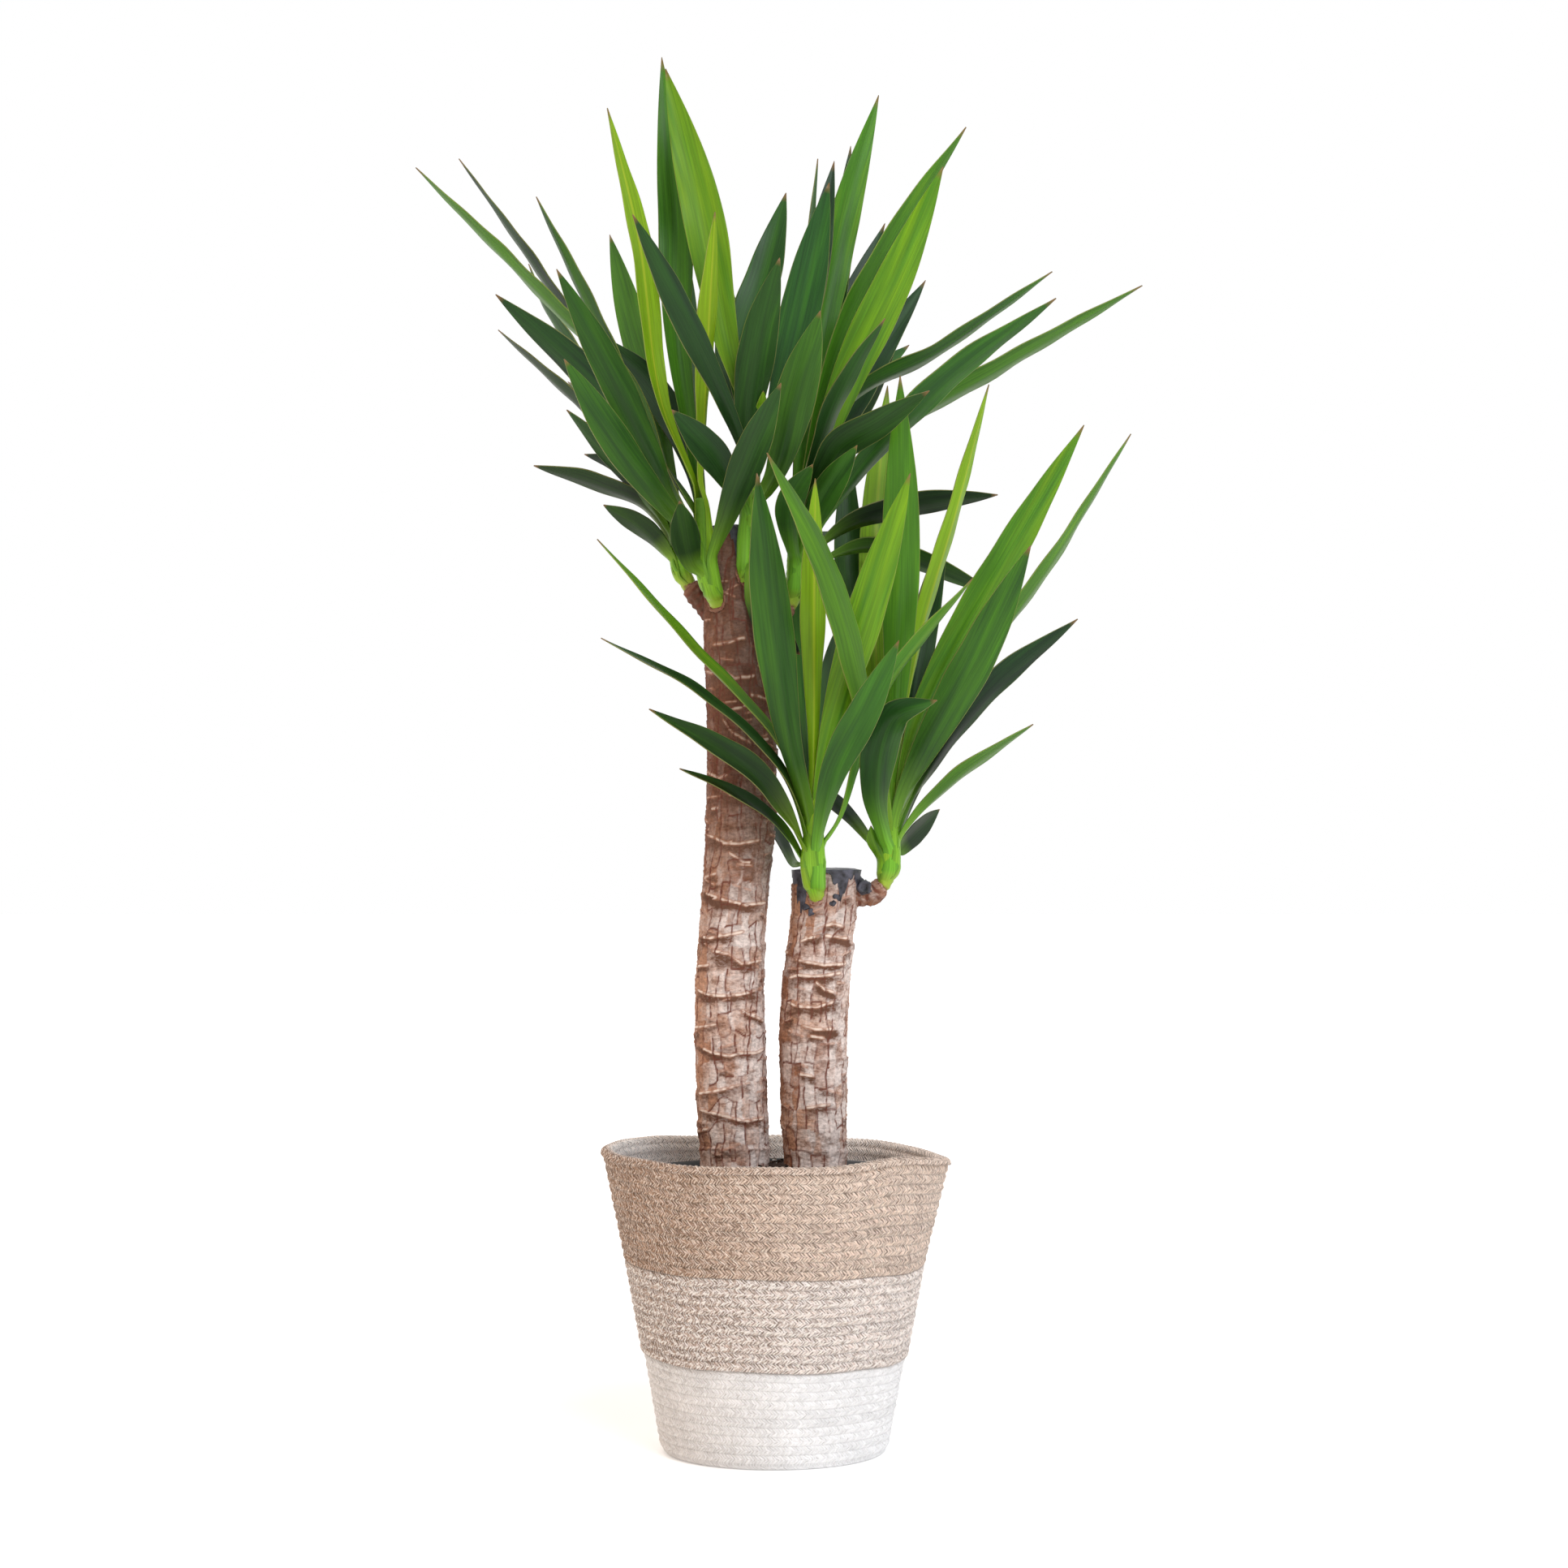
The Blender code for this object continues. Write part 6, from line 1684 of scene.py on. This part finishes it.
def make_leaf():
    """Yucca leaf: waxy and satin, with fine lengthwise lines.

    blade holds the place across and along the blade and its tone, fibre the place in metres, and reach the
    distance from the stem's foot, the leaf's colour cast and how dry it is.
    """
    leaf, add = new_material("yucca_leaf_waxy_cuticle")
    blade = add("Attribute", {}, "Vector", attribute_name="blade")
    across = add("SeparateXYZ", [blade])
    along, tone = across.node.outputs[1], across.node.outputs[2]
    fibre = add("Attribute", {}, "Vector", attribute_name="fibre")
    lines_place = add(
        "VectorMath", [fibre, (1 / FIBRE_SPACING, 1 / FIBRE_LENGTH, 10.0)], operation="MULTIPLY"
    )
    lines = add("TexNoise", {"Vector": lines_place, "Scale": 1.0, "Detail": 3.0})
    streak_place = add("VectorMath", [fibre, (150.0, 9.0, 10.0)], operation="MULTIPLY")
    streaks = add("TexNoise", {"Vector": streak_place, "Scale": 1.0, "Detail": 2.0})
    grown = add("Attribute", {}, "Vector", attribute_name="reach")
    reach = add("SeparateXYZ", [grown])
    cast, dry = reach.node.outputs[1], reach.node.outputs[2]
    # Green by tone: deep and cool, fresh green, lime.
    shifted = add("Math", [streaks, 0.42, tone], operation="MULTIPLY_ADD")
    ramp = add("ValToRGB", [shifted])
    greens = ramp.node.color_ramp.elements
    greens.new(0.4)
    greens.new(0.7)
    for stop, (place, code) in zip(greens, GREENS):
        stop.position = place
        stop.color = linear(code)
    # Leaves that lean to the left are more olive, those that lean to the right more blue-green.
    share = add("MapRange", [cast, -1.0, 1.0])
    tint = add("Mix", [share, (1.38, 1.0, 0.62, 1.0), (0.82, 1.05, 1.35, 1.0)], data_type="RGBA")
    leaning = add("VectorMath", [ramp, tint], operation="MULTIPLY")
    fine = add("MapRange", [lines, 0.3, 0.7, 0.76, 1.2])
    # Painted shade between the leaves: an old leaf is darker towards its lower part, where little light gets
    # down.
    crown_shade = add("MapRange", [reach, 50 * MM, 210 * MM, 0.46, 1.12])
    old_part = add("MapRange", [tone, 0.3, 0.75])
    lit = add("Mix", [old_part, crown_shade, 1.0])
    bright = add("Math", [fine, lit], operation="MULTIPLY")
    lined = add("VectorMath", [leaning, bright], operation="SCALE")
    # A yellow midrib on the youngest leaves, and pale edges.
    width = add("Math", [across], operation="ABSOLUTE")
    young = add("MapRange", [tone, 0.78, 0.85, 0.0, 0.55])
    ribbed = add("MapRange", [width, 0.02, 0.16, 1.0, 0.0])
    rib = add("Math", [young, ribbed], operation="MULTIPLY")
    veined = add("Mix", [rib, lined, "#c3c93a"], data_type="RGBA")
    # Fresh green on the roots, each leaf's its own, and yellow-green at the very foot.
    root = add("Mix", [share, "#a6cf34", "#68bd34"], data_type="RGBA")
    rooting = add("VectorMath", [root, fine], operation="SCALE")
    close = add("MapRange", [reach, 28 * MM, 115 * MM, 0.9, 0.0])
    outer = add("MapRange", [along, 0.1, 0.45, 1.0, 0.0])
    fresh = add("Math", [close, outer], operation="MULTIPLY")
    rooted = add("Mix", [fresh, veined, rooting], data_type="RGBA")
    low = add("MapRange", [reach, 3 * MM, 15 * MM, 0.85, 0.0])
    based = add("Mix", [low, rooted, "#b2c648"], data_type="RGBA")
    # Painted shade beside a root's edge, where the roots overlap, and a pale line on the blade's edge.
    rolled = add("MapRange", [width, 0.5, 1.0, 0.0, 0.6])
    root_edge_shade = add("Math", [rolled, fresh], operation="MULTIPLY")
    root_edge_shaded = add("Mix", [root_edge_shade, based, "#2f6a1c"], data_type="RGBA")
    blade_part = add("MapRange", [reach, 50 * MM, 110 * MM, 0.0, 0.4])
    edge = add("MapRange", [width, 0.96, 0.99])
    rim = add("Math", [edge, blade_part], operation="MULTIPLY")
    footed = add("Mix", [rim, root_edge_shaded, "#c0bd6c"], data_type="RGBA")
    tip = add("MapRange", [along, 0.965, 0.99, 0.0, 0.85])
    dried = add("Math", [tip, dry], operation="MAXIMUM")
    colour = add("Mix", [dried, footed, "#8d6b45"], data_type="RGBA")
    rough = add("MapRange", [streaks, 0.3, 0.7, 0.3, 0.46])
    bump = add("Bump", {"Height": lines, "Strength": 0.35, "Distance": 0.35 * MM})
    shader = add(
        "BsdfPrincipled", {
            "Base Color": colour, "Roughness": rough, "IOR": 1.45, "Specular IOR Level": 0.32, "Normal": bump,
        },
    )
    glow = add("VectorMath", [colour, (1.5, 1.6, 0.6)], operation="MULTIPLY")
    through = add("BsdfTranslucent", {"Color": glow, "Normal": bump})
    mixed = add("MixShader", [0.2, shader, through])
    add("OutputMaterial", {"Surface": mixed})
    return leaf


print("fibres across a blade 30 mm wide:", round(30 * MM / FIBRE_SPACING))

# %% Shoot pieces
leaf_look = make_leaf()
blade_stations = np.linspace(0, 1, BLADE_STATIONS)
for order, shoot in enumerate(SHOOTS):
    table = stem_table(shoot)
    stem = smooth_curve(table[:, :3], unit(table[1, :3] - table[0, :3]))
    up = walked(table[:, :3])
    radii = (up / up[-1], table[:, 3])
    node_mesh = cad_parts[shoot.name].data
    corners = np.empty(3 * len(node_mesh.vertices), np.float32)
    node_mesh.vertices.foreach_get("co", corners)
    corners = corners.reshape(-1, 3)
    skins = [stem_skin(shoot, 60 + order)]
    misses = []
    for number, row in enumerate(shoot.leaves):
        leaf = Leaf(*row)
        nudge, miss = settled_nudge(leaf, corners)
        misses.append(miss)
        lines = blade_lines(leaf, stem, nudge, blade_stations)
        skins.append(blade_skin(leaf, stem, radii, lines, blade_stations, 100 * order + number))
    piece = make_piece(shoot.name.replace("shoot", "leaves"), skins, leaf_look)
    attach(piece, "root")
    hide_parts(shoot.name)
    print(f"  largest distance from a tip to its solid: {max(misses) / MM:.2f} mm")

# %% Cane pieces
bark_look = make_bark()
for cane in CANES:
    skins = [bark_skin(cane)]
    skins += [stub_skin(s.stub, 70 + k) for k, s in enumerate(SHOOTS) if s.cane == cane.name and s.stub]
    skins += [collar_skin(s, cane, 90 + k) for k, s in enumerate(SHOOTS) if s.cane == cane.name]
    piece = make_piece(f"{cane.name}_bark", skins, bark_look)
    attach(piece, "root")
    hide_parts(cane.name)

# %% [markdown]
# ## Wax seals
#
# The sawn tops were dipped in black wax, so that they don't dry out. It lies in a thin dome on the cut and
# has run down the bark in short ragged tongues. A fluid simulation could pour it, but a skirt whose length
# is worked out for each direction has its tongues where they really hang. A few lumps lie beside it, and
# one of them seals a dead side bud.

# %% Wax seals
WAX_SIDES = 96
WAX_SKIRT = 0.9 * MM
WAX_DOME = ((0.15, 1.0), (0.4, 0.95), (0.65, 0.8), (0.85, 0.5), (0.95, 0.1))  # shares of radius and height
# Tongues of wax on each top: angle from the right, half width in degrees, length in millimetres.
WAX_TONGUES = {
    "tall_cane": ((-75, 22, 30), (-30, 20, 18), (20, 25, 22), (100, 40, 14), (170, 22, 26), (215, 14, 12)),
    "short_cane": (
        (200, 24, 13), (224, 13, 34), (-74, 10, 12), (-62, 9, 25), (-46, 12, 9), (-20, 14, 15), (90, 40, 9),
    ),
}
# Lumps of wax (x, y, z, radius in millimetres). The first seals a dead side bud and has a dimple.
WAX_LUMPS = (
    (70, -10.5, 443.6, 5.8), (59, -8, 446, 5), (65, -4, 449, 4.6), (53, -12, 450, 4.5), (76, -6, 440, 3.6),
    (25.5, -20, 428, 3.6), (29, -23, 424.5, 2.8), (45.5, -23, 431.5, 3.8), (48, -22.5, 436, 3.6),
    (50, -21, 441, 3.5),
)


def wax_skin(cane):
    """A dome over the cut, an edge round its rim, and a thin skirt down the bark with its tongues."""
    height, middle, radius = cane.shape[-1]
    top, wide = height * MM + GAP, radius * MM
    angles = 2 * math.pi * np.arange(WAX_SIDES) / WAX_SIDES
    run = (3 + np.sin(7 * angles + cane.seed) + 0.7 * np.sin(17 * angles)) * MM
    for at, half, long in WAX_TONGUES[cane.name]:
        off = angle_between(angles, math.radians(at)) / math.radians(half)
        ragged = off + 0.25 * np.sin(9 * angles) + 0.2 * np.sin(23 * angles + at)
        run = np.maximum(run, long * MM * (1 - smoothstep(0.0, 1.3, np.abs(ragged))))
    rings = []

    def ring(reach, level):
        """A ring about the cane's middle, at one level or at its own level in each direction."""
        at = middle * MM if np.isscalar(level) else cane_sizes(cane, level)[0]
        return np.stack([at + reach * np.cos(angles), reach * np.sin(angles), level + 0 * angles], axis=1)

    for share, rise in WAX_DOME:
        rings.append(ring(share * wide, top + rise * WAX_THICKNESS))
    for share in np.linspace(0, 1, 14):
        level = top - share * run
        beyond = cane_sizes(cane, level)[1] + WAX_SKIRT * (1.7 - 0.7 * share)
        rings.append(ring(beyond, level))
    rings.append(ring(cane_sizes(cane, top - run)[1] - 1.5 * MM, top - run))
    rings.append(ring(wide - 3.0 * MM, top - 0.5 * run))
    rings.append(ring(0.6 * wide, top))
    lattice = np.array(rings)
    dome = slice(len(WAX_DOME))
    lattice[dome, :, 2] += ripples(lattice[dome], 11 * MM, 81) * 0.35 * MM
    return ring_skin(lattice)


def lump_skin(number):
    """A squashed uneven ball of wax. The first has a dimple in its front."""
    x, y, z, size = WAX_LUMPS[number]
    across = np.linspace(0, math.pi, 18)[1:-1]
    angles = 2 * math.pi * np.arange(24) / 24
    dimple = 0.0 if number else 0.75
    out, forward = np.sin(across), np.cos(across) - dimple * np.exp(-((across / 0.5) ** 2))
    ring = triple(out[:, None] * np.cos(angles), -0.8 * forward[:, None], out[:, None] * np.sin(angles))
    lattice = ring * size * MM + np.array([x, y, z]) * MM
    return ring_skin(lattice + 0.9 * MM * ripples(lattice, 5 * MM, 83)[..., None] * ring)


def make_wax():
    """Grafting wax, dipped: black-brown and dull, with soft lumps and a few glossy spots."""
    wax, add = new_material("black_grafting_wax_dipped")
    place = add("TexCoord", {}, "Object")
    lumps = add("TexNoise", {"Vector": place, "Scale": 160.0, "Detail": 3.0})
    worn = add("MapRange", [lumps, 0.3, 0.72])
    colour = add("Mix", [worn, "#121116", "#5a5a66"], data_type="RGBA")
    rough = add("MapRange", [lumps, 0.3, 0.7, 0.35, 0.65])
    bump = add("Bump", {"Height": lumps, "Strength": 0.7, "Distance": 1.0 * MM})
    shader = add("BsdfPrincipled", {"Base Color": colour, "Roughness": rough, "IOR": 1.44, "Normal": bump})
    add("OutputMaterial", {"Surface": shader})
    return wax


wax_look = make_wax()
for cane in CANES:
    skins = [wax_skin(cane)] + [lump_skin(k) for k in range(len(WAX_LUMPS)) if cane is SHORT_CANE]
    piece = make_piece(f"{cane.name}_wax_cap", skins, wax_look)
    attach(piece, "root")
    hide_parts(f"{cane.name}_wax_seal")
